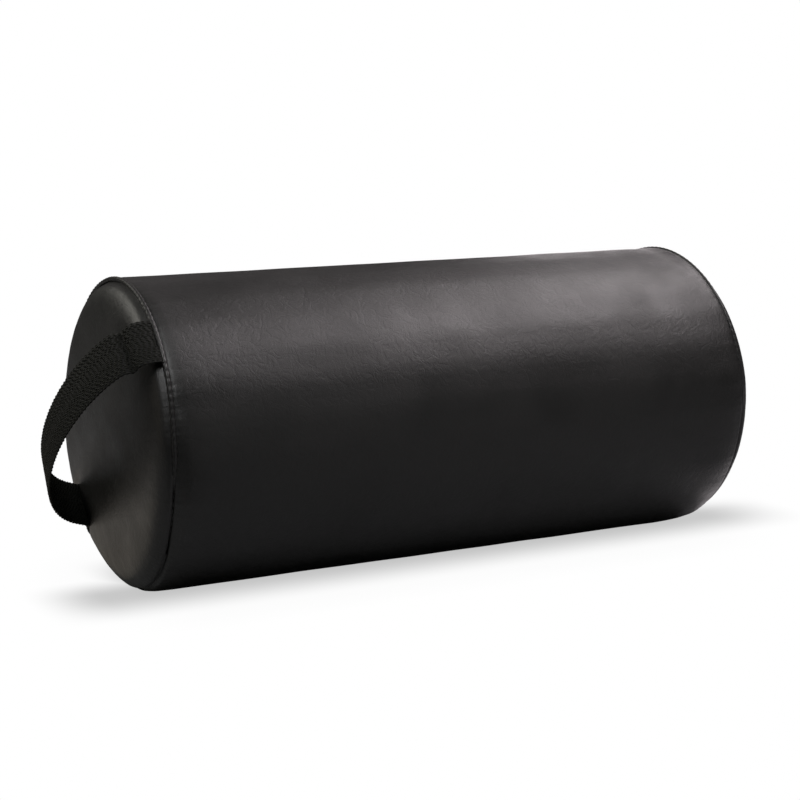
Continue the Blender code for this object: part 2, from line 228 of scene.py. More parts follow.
# A node group. An input is given by its first value, or by its kind where it has none.
def newTree(family, name, inputs, outputs):
    tree = bpy.data.node_groups.new(name, family + "NodeTree")
    for label, value in inputs.items():
        kind = value if isinstance(value, str) else {int: "Int", float: "Float"}[type(value)]
        socket = tree.interface.new_socket(label, in_out="INPUT", socket_type="NodeSocket" + kind)
        if kind != value:
            socket.default_value = value
    for label, kind in outputs.items():
        tree.interface.new_socket(label, in_out="OUTPUT", socket_type="NodeSocket" + kind)
    return tree, tree.nodes.new("NodeGroupInput").outputs, tree.nodes.new("NodeGroupOutput").inputs


# Fine pebbled skin of the leatherette, with soft creases from handling
grainLook = {
    "cellEdge": 0.28,
    "warp": 340.0,
    "warpShare": 1.6,
    "crease": (95.0, 4.0, 0.55, 0.6),  # scale, detail, roughness and distortion of a noise, here and below
    "creaseWidth": 0.08,
    "slow": (30.0, 3.0, 0.5, 0.3),
    "slowShare": 4.0,
    "smudge": (14.0, 4.0, 0.6, 0.5),
}


def makePebbleGrain():
    inputs = {"Vector": "Vector", "Cells per metre": 1150.0, "Pebble": 1.0, "Crease": 1.0}
    outputs = {"Height": "Float", "Valley shade": "Float", "Smudge": "Float"}
    group, given, result = newTree("Shader", "pebbleGrain", inputs, outputs)
    place = given["Vector"]
    cells = firstOf(group, "ShaderNodeTexVoronoi", {"Vector": place, "Scale": given["Cells per metre"]},
                    feature="DISTANCE_TO_EDGE")
    pebble = rangeNode(group, cells, 0.0, grainLook["cellEdge"])
    warp = noiseNode(group, place, grainLook["warp"])
    pebble = mathNode(group, "MULTIPLY_ADD", warp, grainLook["warpShare"], pebble)
    crease = noiseNode(group, place, *grainLook["crease"])
    crease = mathNode(group, "ABSOLUTE", mathNode(group, "SUBTRACT", crease, 0.5))
    crease = rangeNode(group, crease, 0.0, grainLook["creaseWidth"])
    slow = noiseNode(group, place, *grainLook["slow"])
    crease = mathNode(group, "MULTIPLY_ADD", slow, grainLook["slowShare"], crease)
    pebbleHeight = mathNode(group, "MULTIPLY", pebble, given["Pebble"])
    creaseHeight = mathNode(group, "MULTIPLY", crease, given["Crease"])
    feed(group, result, {
        "Height": mathNode(group, "ADD", pebbleHeight, creaseHeight),
        # painted shade: a mask of the grooves between the pebbles, used to darken the colour there
        "Valley shade": mathNode(group, "SUBTRACT", 1.0, pebble),
        "Smudge": noiseNode(group, place, *grainLook["smudge"])})
    return group


weaveLook = {"fuzz": (0.35, 3.0, 0.6)}  # of the fibres that break up the weave, scaled by its threads


# Plain over-and-under weave read from a UV map in metres
def makeFineWeave():
    group, given, result = newTree("Shader", "fineWeave", {"UV": "Vector", "Threads per metre": 1600.0},
                                   {"Height": "Float", "Shade": "Float"})
    scaled = firstOf(group, "ShaderNodeVectorMath", {0: given["UV"], "Scale": given["Threads per metre"]},
                     operation="SCALE")
    parts = splitParts(group, scaled)
    waves = [mathNode(group, "SINE", mathNode(group, "MULTIPLY", parts[axis], math.pi)) for axis in "XY"]
    height = mathNode(group, "MULTIPLY_ADD", mathNode(group, "MULTIPLY", *waves), 0.5, 0.5)
    fuzz = noiseNode(group, scaled, *weaveLook["fuzz"])
    feed(group, result, {"Height": height, "Shade": mathNode(group, "MULTIPLY", height, fuzz)})
    return group


# Faint lint and dust, more on what faces up
dustLook = {
    "specks": (900.0, 4.0, 0.7),
    "speckRange": (0.55, 0.85),
    "clouds": 18.0,
    "cloudShare": 0.35,
    "facing": (-0.2, 1.0, 0.25, 1.0),  # from and to which upward part of the normal, and how dusty there
}


def makeLightDust():
    inputs = {"Vector": "Vector", "Amount": 0.3}
    group, given, result = newTree("Shader", "lightDust", inputs, {"Mask": "Float"})
    normal = addNode(group, "ShaderNodeNewGeometry").outputs["Normal"]
    facing = rangeNode(group, splitParts(group, normal)["Z"], *dustLook["facing"])
    specks = noiseNode(group, given["Vector"], *dustLook["specks"])
    specks = rangeNode(group, specks, *dustLook["speckRange"])
    cloudy = noiseNode(group, given["Vector"], dustLook["clouds"])
    mask = mathNode(group, "MULTIPLY_ADD", cloudy, dustLook["cloudShare"], specks)
    mask = mathNode(group, "MULTIPLY", mask, facing)
    feed(group, result, {"Mask": mathNode(group, "MULTIPLY", mask, given["Amount"])})
    return group


pebbleGrain = makePebbleGrain()
fineWeave = makeFineWeave()
lightDust = makeLightDust()


def newMaterial(name, specular=0.5, roughness=0.5):
    material = bpy.data.materials.new(name)
    material.use_nodes = True
    tree = material.node_tree
    sockets = tree.nodes["Principled BSDF"].inputs
    sockets["Roughness"].default_value = roughness
    sockets["Specular IOR Level"].default_value = specular
    return material, tree, sockets, addNode(tree, "ShaderNodeTexCoord").outputs["Object"]


# Sockets 6 and 7 of a mix node are its two colours
def blendColours(tree, factor, *colours):
    low, high = (c if isinstance(c, bpy.types.NodeSocket) else (*c, 1.0) for c in colours)
    return addNode(tree, "ShaderNodeMix", {0: factor, 6: low, 7: high}, data_type="RGBA").outputs[2]


def bumpNode(tree, height, strength, distance):
    return firstOf(tree, "ShaderNodeBump", {"Height": height, "Strength": strength, "Distance": distance})


# Most of a noise lies between 0.3 and 0.7, which this spreads over a range of roughness
def roughNode(tree, value, rough):
    return rangeNode(tree, value, 0.3, 0.7, *rough)


def dusted(tree, place, tone, dust, amount):
    mask = firstOf(tree, "ShaderNodeGroup", {"Vector": place, "Amount": amount}, node_tree=lightDust)
    return blendColours(tree, mask, tone, dust)


leatherLook = {
    "dark": (0.0080, 0.0080, 0.0076),
    "light": (0.0140, 0.0138, 0.0130),
    # painted shade: how much darker the grooves between the pebbles are painted
    "valleyShadeShare": 0.35,
    "dust": ((0.060, 0.058, 0.054), 0.10),  # colour and amount
    "specular": 0.50,
    "rough": (0.36, 0.54),
    "bumpDepth": 0.00006,
}


def makeLeather(name, cells, pebble, crease, bumpStrength):
    material, tree, sockets, place = newMaterial(name, leatherLook["specular"])
    grain = addNode(tree, "ShaderNodeGroup", node_tree=pebbleGrain, inputs={
        "Vector": place, "Cells per metre": cells, "Pebble": pebble, "Crease": crease}).outputs
    tone = blendColours(tree, grain["Smudge"], leatherLook["dark"], leatherLook["light"])
    # painted shade: the grooves between the pebbles are darkened in the colour
    valley = mathNode(tree, "MULTIPLY", grain["Valley shade"], leatherLook["valleyShadeShare"])
    tone = blendColours(tree, valley, tone, leatherLook["dark"])
    feed(tree, sockets, {
        "Base Color": dusted(tree, place, tone, *leatherLook["dust"]),
        "Roughness": roughNode(tree, grain["Smudge"], leatherLook["rough"]),
        "Normal": bumpNode(tree, grain["Height"], bumpStrength, leatherLook["bumpDepth"])})
    return material


coverLeather = makeLeather("blackLeatherette", 1150.0, 1.0, 1.6, 0.65)
beadLeather = makeLeather("beadLeatherette", 1400.0, 0.8, 0.3, 0.35)

clothLook = {
    "dust": (0.07, 0.07, 0.065),
    "threadDust": 0.06,
    "fibres": (4.0, 0.65),  # detail and roughness
    "fibreRange": (0.35, 0.65),
    "roughSpread": 0.08,
    "threadBump": (0.5, 0.00008),
    "woven": (0.3, 0.85),  # specular and roughness
    "wovenDust": 0.15,
    "wovenBump": (0.8, 0.00015),
}


def makeThreadFinish(name, dark, light, roughness, scale, specular):
    material, tree, sockets, place = newMaterial(name, specular)
    fibres = noiseNode(tree, place, scale, *clothLook["fibres"])
    tone = blendColours(tree, rangeNode(tree, fibres, *clothLook["fibreRange"]), dark, light)
    rough = [roughness + side * clothLook["roughSpread"] for side in (-1, 1)]
    feed(tree, sockets, {
        "Base Color": dusted(tree, place, tone, clothLook["dust"], clothLook["threadDust"]),
        "Roughness": roughNode(tree, fibres, rough),
        "Normal": bumpNode(tree, fibres, *clothLook["threadBump"])})
    return material


def makeWovenFinish(name, dark, light, threads):
    material, tree, sockets, place = newMaterial(name, *clothLook["woven"])
    uv = firstOf(tree, "ShaderNodeUVMap", uv_map="weaveMap")
    weave = addNode(tree, "ShaderNodeGroup", {"UV": uv, "Threads per metre": threads},
                    node_tree=fineWeave).outputs
    tone = blendColours(tree, weave["Shade"], dark, light)
    feed(tree, sockets, {
        "Base Color": dusted(tree, place, tone, clothLook["dust"], clothLook["wovenDust"]),
        "Normal": bumpNode(tree, weave["Height"], *clothLook["wovenBump"])})
    return material


seamThread = makeThreadFinish(
    "blackSeamThread", (0.006, 0.006, 0.006), (0.016, 0.016, 0.015), 0.50, 2600.0, 0.4)
webbingYarn = makeThreadFinish(
    "blackWebbingYarn", (0.0020, 0.0023, 0.0010), (0.0060, 0.0068, 0.0036), 0.62, 2200.0, 0.20)
webbingCore = makeWovenFinish("blackWebbingCore", (0.004, 0.004, 0.004), (0.016, 0.017, 0.014), 900.0)
zipTapeFinish = makeWovenFinish("blackZipTape", (0.005, 0.005, 0.005), (0.024, 0.024, 0.024), 1800.0)
print("Leatherette, thread, webbing and tape finishes made")

nylonLook = {
    "dark": (0.012, 0.012, 0.012),
    "light": (0.030, 0.030, 0.030),
    "streaks": (1500.0, 3.0, 0.6),
    "rough": (0.30, 0.46),
}
enamelLook = {
    "paint": (0.022, 0.022, 0.023),
    "worn": (0.16, 0.155, 0.15),
    "speckle": (1100.0, 5.0, 0.7),
    "scuffs": (330.0, 6.0, 0.75, 1.5),
    "scuffRange": (0.60, 0.72),
    "wornMetal": 0.8,
    "rough": (0.24, 0.42),
    "coat": (0.5, 0.0),  # where it is whole, and where it is worn off
    "coatRough": 0.18,
    "bump": (0.25, 0.00005),
}


def makeNylonFinish():
    material, tree, sockets, place = newMaterial("blackCoilNylon")
    streaks = noiseNode(tree, place, *nylonLook["streaks"])
    feed(tree, sockets, {
        "Base Color": blendColours(tree, streaks, nylonLook["dark"], nylonLook["light"]),
        "Roughness": roughNode(tree, streaks, nylonLook["rough"])})
    return material


def makeEnamelFinish():
    material, tree, sockets, place = newMaterial("blackEnamelledMetal")
    sockets["Coat Roughness"].default_value = enamelLook["coatRough"]
    speckle = noiseNode(tree, place, *enamelLook["speckle"])
    scuffs = noiseNode(tree, place, *enamelLook["scuffs"])
    scuffs = rangeNode(tree, scuffs, *enamelLook["scuffRange"])
    feed(tree, sockets, {
        "Base Color": blendColours(tree, scuffs, enamelLook["paint"], enamelLook["worn"]),
        "Roughness": roughNode(tree, speckle, enamelLook["rough"]),
        "Metallic": mathNode(tree, "MULTIPLY", scuffs, enamelLook["wornMetal"]),
        "Coat Weight": rangeNode(tree, scuffs, 0.0, 1.0, *enamelLook["coat"]),
        "Normal": bumpNode(tree, speckle, *enamelLook["bump"])})
    return material


coilNylon = makeNylonFinish()
enamel = makeEnamelFinish()


# Camera and studio
cameraView = {
    "place": (-0.70636, -1.28594, 0.37613),
    "turn": (80.1167, 0.0605, -28.4413),  # degrees about X, Y, Z
    "lens": 84.87,
    "sensor": 36.0,
    "nearest": 0.05,
}


def makeCamera():
    data = bpy.data.cameras.new("studioCamera")
    data.lens = cameraView["lens"]
    data.sensor_width = cameraView["sensor"]
    data.clip_start = cameraView["nearest"]
    camera = addObject("studioCamera", data)
    camera.location = cameraView["place"]
    camera.rotation_euler = [math.radians(turn) for turn in cameraView["turn"]]
    bpy.context.scene.camera = camera


studio = {
    "white": (1.0, 1.0, 1.0, 1.0),
    "room": 0.004,  # what the gloss sees where there is no lamp
    "floorBounce": (0.295, 0.302, 0.308),
    # painted shade: a patch of floor, unseen by the camera, that gives the bolster darker reflections and
    # less bounced light
    "paintedShadePatch": ((-0.07, -0.25), (-0.16, -0.32)),  # where the floor gives back less, along X and Y
    "paintedShadePatchShare": 0.80,
    "contactReach": 0.06,  # how near the floor must be to the bolster to be in its close shade
    "contactDark": 0.05,
    "contactSamples": 24,
    "shadeDark": 0.40,
    # two soft shades, each of which fades in between these places: along X from both sides, then along Y
    "shades": (
        ((-0.322, -0.262), (0.365, 0.270), (-0.090, -0.022), (0.035, -0.015)),
        ((-0.262, -0.215), (0.300, 0.215), (-0.030, 0.000), (0.095, 0.022)),
    ),
    "floorHalf": 6,
    # name: place, target, width, height, power, tone
    "lamps": {
        "overheadRight": ((0.70, -0.40, 1.40), (0.30, -0.20, 0.1), 0.6, 0.5, 7.5, "mauve"),
        "overheadFar": ((1.10, 0.30, 1.40), (0.55, 0.17, 0.1), 1.0, 0.5, 10.0, "mauve"),
        "overheadNear": ((-0.42, -0.42, 1.40), (-0.20, -0.20, 0.1), 0.4, 0.4, 2.4, "plain"),
        "overheadFrontRight": ((1.10, -0.85, 1.40), (0.55, -0.42, 0.1), 0.5, 0.6, 3.6, "mauve"),
        "overheadFrontLeft": ((-0.90, -0.88, 1.40), (-0.45, -0.44, 0.1), 0.5, 0.6, 8.8, "plain"),
        "highBehind": ((0.20, 1.50, 1.20), (0.0, 0.0, 0.1), 0.8, 0.8, 0.8, "mauve"),
        "highLeft": ((-1.00, 0.80, 1.00), (0.0, 0.0, 0.1), 0.6, 0.6, 6.4, "cream"),
        "lowLeft": ((-1.50, 0.10, 0.55), (0.0, 0.0, 0.1), 0.6, 0.6, 0.7, "warm"),
        "reflector": ((-0.40, 0.14, 0.004), (-0.40, 0.14, 1.0), 0.3, 0.3, 0.08, "warm"),
        "reflectorRight": ((0.315, -0.01, 0.004), (0.315, -0.01, 1.0), 0.12, 0.16, 0.08, "mauve"),
        "lowFront": ((0.40, -1.60, 0.55), (0.0, 0.0, 0.1), 0.8, 0.5, 0.9, "plain"),
        "behindRight": ((1.30, 1.20, 0.35), (0.0, 0.0, 0.1), 0.8, 1.0, 5.0, "mauve"),
    },
    "tones": {"mauve": (1.0, 0.925, 0.945), "plain": (1.0, 1.0, 1.0), "cream": (1.0, 0.98, 0.90),
              "warm": (1.0, 0.87, 0.70)},
}


# An amount that fades in between pairs of places along the named axes
def fadedIn(tree, place, amount, axes, sides):
    for axis, (faint, full) in zip(axes, sides):
        fade = rangeNode(tree, place[axis], faint, full, interpolation_type="SMOOTHSTEP")
        amount = mathNode(tree, "MULTIPLY", fade, amount)
    return amount


# What the camera sees directly, and what everything else sees
def seenOrNot(tree, hidden, shown):
    seen = addNode(tree, "ShaderNodeLightPath").outputs["Is Camera Ray"]
    return firstOf(tree, "ShaderNodeMixShader", {0: seen, 1: hidden, 2: shown})


def makeStudio():
    world = bpy.data.worlds.new("whiteStudio")
    world.use_nodes = True
    world.node_tree.nodes.clear()
    room, backdrop = (firstOf(world.node_tree, "ShaderNodeBackground", {
        "Color": studio["white"], "Strength": strength}) for strength in (studio["room"], 1.0))
    addNode(world.node_tree, "ShaderNodeOutputWorld", {
        "Surface": seenOrNot(world.node_tree, room, backdrop)})
    bpy.context.scene.world = world

    material = bpy.data.materials.new("paleFloor")
    material.use_nodes = True
    tree = material.node_tree
    tree.nodes.clear()
    place = splitParts(tree, addNode(tree, "ShaderNodeTexCoord").outputs["Object"])
    shades = [fadedIn(tree, place, studio["shadeDark"], "XXYY", sides) for sides in studio["shades"]]
    soft = mathNode(tree, "MAXIMUM", *shades)
    clear = addNode(tree, "ShaderNodeAmbientOcclusion", {"Distance": studio["contactReach"]},
                    samples=studio["contactSamples"])
    close = mathNode(tree, "SUBTRACT", 1.0, clear.outputs["AO"])
    close = mathNode(tree, "MULTIPLY", close, studio["contactDark"])
    light = mathNode(tree, "SUBTRACT", mathNode(tree, "SUBTRACT", 1.0, soft), close)
    shown = firstOf(tree, "ShaderNodeEmission", {"Color": studio["white"], "Strength": light})
    # painted shade: the floor is darkened in a patch that only reflections and bounced light see
    paintedShade = fadedIn(tree, place, studio["paintedShadePatchShare"], "XY", studio["paintedShadePatch"])
    tint = blendColours(tree, paintedShade, studio["floorBounce"], (0.0, 0.0, 0.0))
    bounced = firstOf(tree, "ShaderNodeBsdfDiffuse", {"Color": tint})
    addNode(tree, "ShaderNodeOutputMaterial", {"Surface": seenOrNot(tree, bounced, shown)})
    half = studio["floorHalf"]
    corners = [(-half, -half, 0), (half, -half, 0), (half, half, 0), (-half, half, 0)]
    addPiece("studioFloor", corners, [(0, 1, 2, 3)], material, smoothShading=False)

    for name, (place, target, width, height, power, tone) in studio["lamps"].items():
        data = bpy.data.lights.new(name, "AREA")
        data.shape = "RECTANGLE"
        data.size = width
        data.size_y = height
        data.energy = power
        data.color = studio["tones"][tone]
        lamp = addObject(name, data)
        lamp.location = place
        lamp.rotation_euler = (Vector(target) - Vector(place)).to_track_quat("-Z", "Y").to_euler()
        lamp.visible_camera = False
    bpy.context.scene.view_settings.view_transform = "Standard"


makeCamera()
makeStudio()
print("Camera, floor and lamps in place")


# Webbing handle, in a frame whose X is the hinge line and whose Z stands out from the end. Its lower root
# presses into the cover, so its sizes come first.
strap = {
    "angle": math.radians(135.3),
    "halfSpan": 0.1102,
    "hingeInset": 0.0056,
    "rise": 0.0558,
    "sag": 0.0087,
    "sagPower": 1.5,
    "twist": math.radians(-5.5),
    "controls": ((-1.00, -0.03), (-0.72, 0.02), (-0.65, 0.30), (-0.77, 0.72),
                 (-0.35, 1.27), (0.45, 1.51), (1.21, 0.49), (1.00, 0.03)),
    "width": 0.036,
    "steps": 288,
    "split": 150,  # the step at which the two pieces meet
    "easing": (1, 2, 3, 4, 3, 2, 1),  # weights that round off where it leaves the panel
    "foldPlace": 0.021,  # of the fold, back from the upper seam
    "foldDepth": 0.0042,
    "foldWidth": 0.0046,
    "tuck": (0.0026, 0.0030),  # how far the upper end runs on over the panel's edge into the seam
    "tuckLength": 0.012,
    "lift": 0.0003,  # of the webbing's middle above the panel, into which it presses
    "slopeStep": 0.0016,
    "coreHalf": 0.00048,
    "coreEdge": 0.0005,
    "columns": 25,
    "outerColumn": 0.55,  # how far the outermost yarns stand out, as a share of the others
    "yarnHalf": 0.00032,
    "yarnHeight": 0.00046,
    "yarnWave": 0.00026,
    "yarnSquare": 1.8,  # how flat the yarns run over and under the weft
    "yarnNoise": (520.0, 1.0),
    "yarnUneven": 2.2,
    "yarnSwell": (0.10, 0.92),  # how much fuller they are on top, and how full in the middle
    "yarnSeed": 5.0,
    "yarnSample": 0.0008,
    "weftPitch": 0.00095,
    "seed": 7,  # of where each yarn starts in the weave
    "sides": 6,
    "press": 0.0020,  # how deep the lower root presses into the padded end
    "pressEnd": (-0.088, 0.030),  # where that starts to fade along the webbing, and over what length
    "pressSide": (-0.0005, 0.0035),  # where it starts to fade inside its edges, and over what width
    "pressShift": 0.001,
}


# Padded cover: side and both ends in one closed skin, drawn in under the seam beads and opened for the zip
coverLook = {
    "coarseColumns": 262,
    "fineFactor": 3,  # columns beside the seams for each one elsewhere
    "fineReach": 0.0118,
    # rings of the skin, each as a place and how many rings lead to it: first radii on a panel,
    # then distances from its seam
    "panelRadii": ((0.070, 8), (0.098, 8)),
    "panelEdge": ((0.0044, 7), (0.0006, 6)),
    "sideEdge": ((0.0048, 7), (0.012, 7)),
    "shoulderRun": (0.004, 6),
    "middleRings": 50,
    # heights on a seam go from -1 at the floor to 1 at the top; each of these is a start and a length
    "ridgeFrom": (0.12, 0.50),
    "lineBelow": (0.05, -0.25),
    "valleyBelow": (-0.40, -0.40),
    "valleyTop": -0.20,
    "grooveDepth": {"handle_end": (0.0024, 0.0017), "plain_end": (0.0007, 0.0005)},  # below, and at the top
    "panelGroove": (0.0017, 0.0030),  # how wide the groove is on the panel, below and at the top
    "sideGroove": (0.0064, 0.0024),
    "lowGroove": (0.0016, 0.0014),  # how deep and wide it is near the floor
    "slit": (0.0021, 0.0010),  # the same for the narrow line that is left of the seam lower down
    "puckerPitch": 0.0054,  # one for each stitch
    "puckerHeight": 0.00010,
    "puckerReach": 0.0050,
    "gatherHeight": 0.00025,
    "gatherStart": 0.004,
    "gatherReach": 0.020,
    "gatherScale": (9.0, 7.0),  # round the bolster, and what sets the two ends apart
    "wrinkleHeight": 0.00034,
    "wrinkleScale": (22.0, 38.0),  # along the bolster and round it
    "panelCalm": (0.35, 0.02),  # share of the unevenness that a panel keeps at its seam, and where it has all
    "panelSpread": (0.4, 0.01),  # share of it that moves a panel's edge outwards, and how far in that reaches
    "swollen": 0.0006,  # how much fuller the side is than its seams and zip
    "swollenStart": 0.012,
    "seamRise": {"handle_end": 0.0020, "plain_end": 0.0040},  # how far the top of each seam stands up
    "seamSpread": 0.0014,  # and how far its lowest part is pressed out by the weight
    "seamRiseReach": {"handle_end": 0.012, "plain_end": 0.009},
}
# The cloth simulation that makes the skin uneven
swellLook = {
    "cap": 0.0015,  # how much smaller the skin is before it is blown up, and the most that it may move
    "capPower": 6,  # how near a panel's edge it is whole again
    "share": 0.05,  # of the simulated unevenness that the tight cover keeps
    "seamShare": 0.15,  # more of it beside the seams
    "seamReach": 0.015,
    "columns": 120,
    "frames": 20,
    "panelShares": (0.12, 0.25, 0.38, 0.5, 0.6, 0.7, 0.78, 0.85, 0.91, 0.96, 1.0),  # of the seam's radius
    "shoulder": (0.036, 7),  # how far from the seam its finer rings reach, and how many they are
    "looseFrom": 0.03,
    "middleRings": 44,
    "gatherRings": 3,
    "cloth": {
        "quality": 6, "mass": 0.3, "tension_stiffness": 30, "compression_stiffness": 30,
        "bending_stiffness": 0.6, "use_pressure": True, "uniform_pressure_force": 4,
        "vertex_group_mass": "seams", "vertex_group_shrink": "gathers", "shrink_min": 0.0,
        "shrink_max": -0.012},
}
zipLook = {
    "angle": math.radians(12),  # round +X from +Y
    "slotFloor": 0.1106,
    "slotEnd": 0.2036,
    "slotFade": 0.0022,
    "slotEdge": (0.0048, 0.0008),  # where the opening's edge starts to fall, and over what width
    "fold": (0.00035, 0.0068, 0.0018),  # height, distance from the zip's middle, width
    "stitchDip": 0.00030,
    "stitchLine": 0.0088,
    "stitchWidth": 0.0008,
    "reach": 0.02,
    "fullFrom": (0.010, 0.020),  # where the side starts to swell beside the zip, and over what width
    # columns of the skin beside the zip's middle, and rings beside the slot's ends
    "columns": (0.0, 0.0025, 0.0046, 0.0050, 0.0053, 0.0058, 0.0064, 0.0071, 0.0079, 0.0085, 0.0091, 0.0099,
                0.0112),
    "columnsClear": 0.6,  # of a step, between these and the even columns
    "rings": (-0.0042, -0.0022, -0.0008, -0.0002, 0.0004, 0.0012, 0.0030),
    "ringsClear": 0.006,
}


# Distance round the bolster from the zip's middle
def zipAcross(angles):
    half = math.pi * bolster["radius"]
    return np.abs(np.mod((angles - zipLook["angle"]) * bolster["radius"] + half, 2 * half) - half)


# Even steps round the bolster, but closer at the zip so that its folded edges are crisp
def columnAngles(count):
    start, step = zipLook["angle"], math.tau / count
    near = [start + across / bolster["radius"] for across in zipLook["columns"]]
    near += [math.tau + start - across / bolster["radius"] for across in zipLook["columns"][1:]]
    free = zipLook["columns"][-1] / bolster["radius"] + zipLook["columnsClear"] * step
    rest = [start + step * k for k in range(count)]
    rest = [a for a in rest if min(a - start, math.tau + start - a) > free]
    return np.array(sorted(near + rest))


# Steps through places, each given with how many steps lead to it
def stepsThrough(start, *legs):
    steps = []
    for place, count in legs:
        steps.append(np.linspace(start, place, count + 1)[1:])
        start = place
    return np.concatenate(steps)


# Rings of the cover, each as x, radius, distance from its seam, end, whether on the panel, and its slope
def coverRows():
    rows = []
    run, runRings = coverLook["shoulderRun"]
    run += bolster["shoulder"]
    small = 1e-6
    for end in (handleEnd, plainEnd):
        part = []
        top = seamRadius(end)
        radii = [(top - radius, count) for radius, count in coverLook["panelRadii"]]
        for distance in stepsThrough(top, *radii, *coverLook["panelEdge"]):
            r = top - distance
            slope = (panelDistance(end, r - small) - panelDistance(end, r)) / small
            part.append((end["side"] * panelDistance(end, r), r, distance, end, True, slope))
        first = coverLook["panelEdge"][-1][0]
        for distance in (first, *stepsThrough(first, *coverLook["sideEdge"], (run, runRings))):
            x = end["side"] * (seamDistance(end) - distance)
            part.append((x, sideRadius(end, distance), distance, end, False, 0.0))
        rows.append(part)
    first, last = run - seamDistance(handleEnd), seamDistance(plainEnd) - run
    middle = np.linspace(first, last, coverLook["middleRings"])
    slotEnds = (-zipLook["slotEnd"], zipLook["slotEnd"])
    middle = [x for x in middle[1:-1] if min(abs(x - near) for near in slotEnds) > zipLook["ringsClear"]]
    middle += [near + shift for near in slotEnds for shift in zipLook["rings"]]
    between = []
    for x in sorted(middle):
        end = handleEnd if x < 0 else plainEnd
        between.append((x, bolster["radius"], seamDistance(end) - abs(x), end, False, 0.0))
    return rows[0] + between + rows[1][::-1]


# One closed skin from rings of points; a ring beside one with fewer columns is joined to it by wider faces
def skinFaces(counts, factor):
    starts = 1 + np.concatenate([[0], np.cumsum(counts)])
    faces = [(0, 1 + k, 1 + (k + 1) % counts[0]) for k in range(counts[0])]
    for here, after, a, b in zip(starts, starts[1:], counts, counts[1:]):
        for k in range(min(a, b)):
            n = (k + 1) % min(a, b)
            if a <= b:
                share = factor if a < b else 1
                many = [after + (k * share + j) % b for j in range(share + 1)]
                faces.append((here + k, *many, here + n))
            else:
                many = [here + (k * factor + j) % a for j in range(factor + 1)]
                faces.append((*many[::-1], after + k, after + n))
    end, last = starts[-2:]
    return faces + [(last, end + (k + 1) % counts[-1], end + k) for k in range(counts[-1])]


def fineAngles(angles, factor):
    following = np.append(angles[1:], angles[0] + math.tau)
    return np.stack([angles + (following - angles) * j / factor for j in range(factor)], 1).ravel()


def swellRings():
    rows = []
    cap = swellLook["cap"]
    for end in (handleEnd, plainEnd):
        part = []
        for share in swellLook["panelShares"]:
            r = seamRadius(end) * share
            loose = cap * (1 - share ** swellLook["capPower"])
            part.append((end["side"] * (panelDistance(end, r) - loose), r))
        reach, count = swellLook["shoulder"]
        for distance in np.linspace(0.0, reach, count + 1)[1:]:
            loose = cap * smooth(distance / swellLook["looseFrom"])
            part.append((end["side"] * (seamDistance(end) - distance), sideRadius(end, distance) - loose))
        rows.append(part)
    middle = np.linspace(rows[0][-1][0], rows[1][-1][0], swellLook["middleRings"] + 2)[1:-1]
    return rows[0] + [(x, bolster["radius"] - cap) for x in middle] + rows[1][::-1]


# A looser skin is blown up by a cloth simulation between its two seams. How each ring moved is kept by
# its place: by x for the side, which moved outwards, and by radius for each panel, which moved along x.
def swellCover():
    columns = swellLook["columns"]
    angles = roundAngles(columns)
    rings = swellRings()
    points = [(rings[0][0], 0.0, 0.0)]
    for x, r in rings:
        points += [(x, r * math.cos(a), r * math.sin(a)) for a in angles]
    points.append((rings[-1][0], 0.0, 0.0))
    piece = addPiece("swellForm", points, skinFaces([columns] * len(rings), 1))
    before = np.array([v.co for v in piece.data.vertices])
    inPanel = len(swellLook["panelShares"])
    seams = (inPanel - 1, len(rings) - inPanel)
    held = piece.vertex_groups.new(name="seams")
    loose = piece.vertex_groups.new(name="gathers")
    for k in range(len(rings)):
        near = min(abs(k - seam) for seam in seams)
        ring = [1 + k * columns + j for j in range(columns)]
        if near == 0:
            held.add(ring, 1.0, "REPLACE")
        if near <= swellLook["gatherRings"]:
            loose.add(ring, 1.0 - near / (swellLook["gatherRings"] + 1), "REPLACE")
    cloth = piece.modifiers.new("blownUp", "CLOTH")
    for name, value in swellLook["cloth"].items():
        setattr(cloth.settings, name, value)
    cloth.settings.effector_weights.gravity = 0.0
    cloth.collision_settings.use_collision = False
    cloth.point_cache.frame_start = 1
    cloth.point_cache.frame_end = swellLook["frames"]
    scene = bpy.context.scene
    for number in range(1, swellLook["frames"] + 1):
        scene.frame_set(number)
    after = np.array([v.co for v in evaluated(piece).data.vertices])
    scene.frame_set(1)
    bpy.data.objects.remove(piece)
    moved = (after - before)[1:-1].reshape(len(rings), columns, 3)
    outward = moved[:, :, 1] * np.cos(angles) + moved[:, :, 2] * np.sin(angles)
    xs, radii = np.array(rings).T
    onSide = slice(seams[0], seams[1] + 1)
    return {
        "side": (xs[onSide], outward[onSide]),
        "handle_end": (radii[:inPanel], -moved[:inPanel, :, 0]),
        "plain_end": (radii[:-inPanel - 1:-1], moved[:-inPanel - 1:-1, :, 0])}


# Smooth reading of a ring of values at any angle
def readRing(values, angles):
    count = len(values)
    place = np.mod(angles / math.tau * count, count)
    base = np.floor(place).astype(int)
    t = place - base
    a, b, c, d = (values[(base + shift) % count] for shift in (-1, 0, 1, 2))
    return b + 0.5 * t * (c - a + t * (2 * a - 5 * b + 4 * c - d + t * (3 * (b - c) + d - a)))


# How unevenly the blown-up skin moved round the bolster at this place, held within the cap
def readSwell(places, rings, place, angles):
    at = int(np.clip(np.searchsorted(places, place) - 1, 0, len(places) - 2))
    share = float(np.clip((place - places[at]) / (places[at + 1] - places[at]), 0.0, 1.0))
    moved = mix(readRing(rings[at], angles), readRing(rings[at + 1], angles), share)
    return np.clip(moved - moved.mean(), -swellLook["cap"], swellLook["cap"])


def noiseRing(*place):
    return np.array([noise.noise(Vector(point)) for point in zip(*np.broadcast_arrays(*place))])


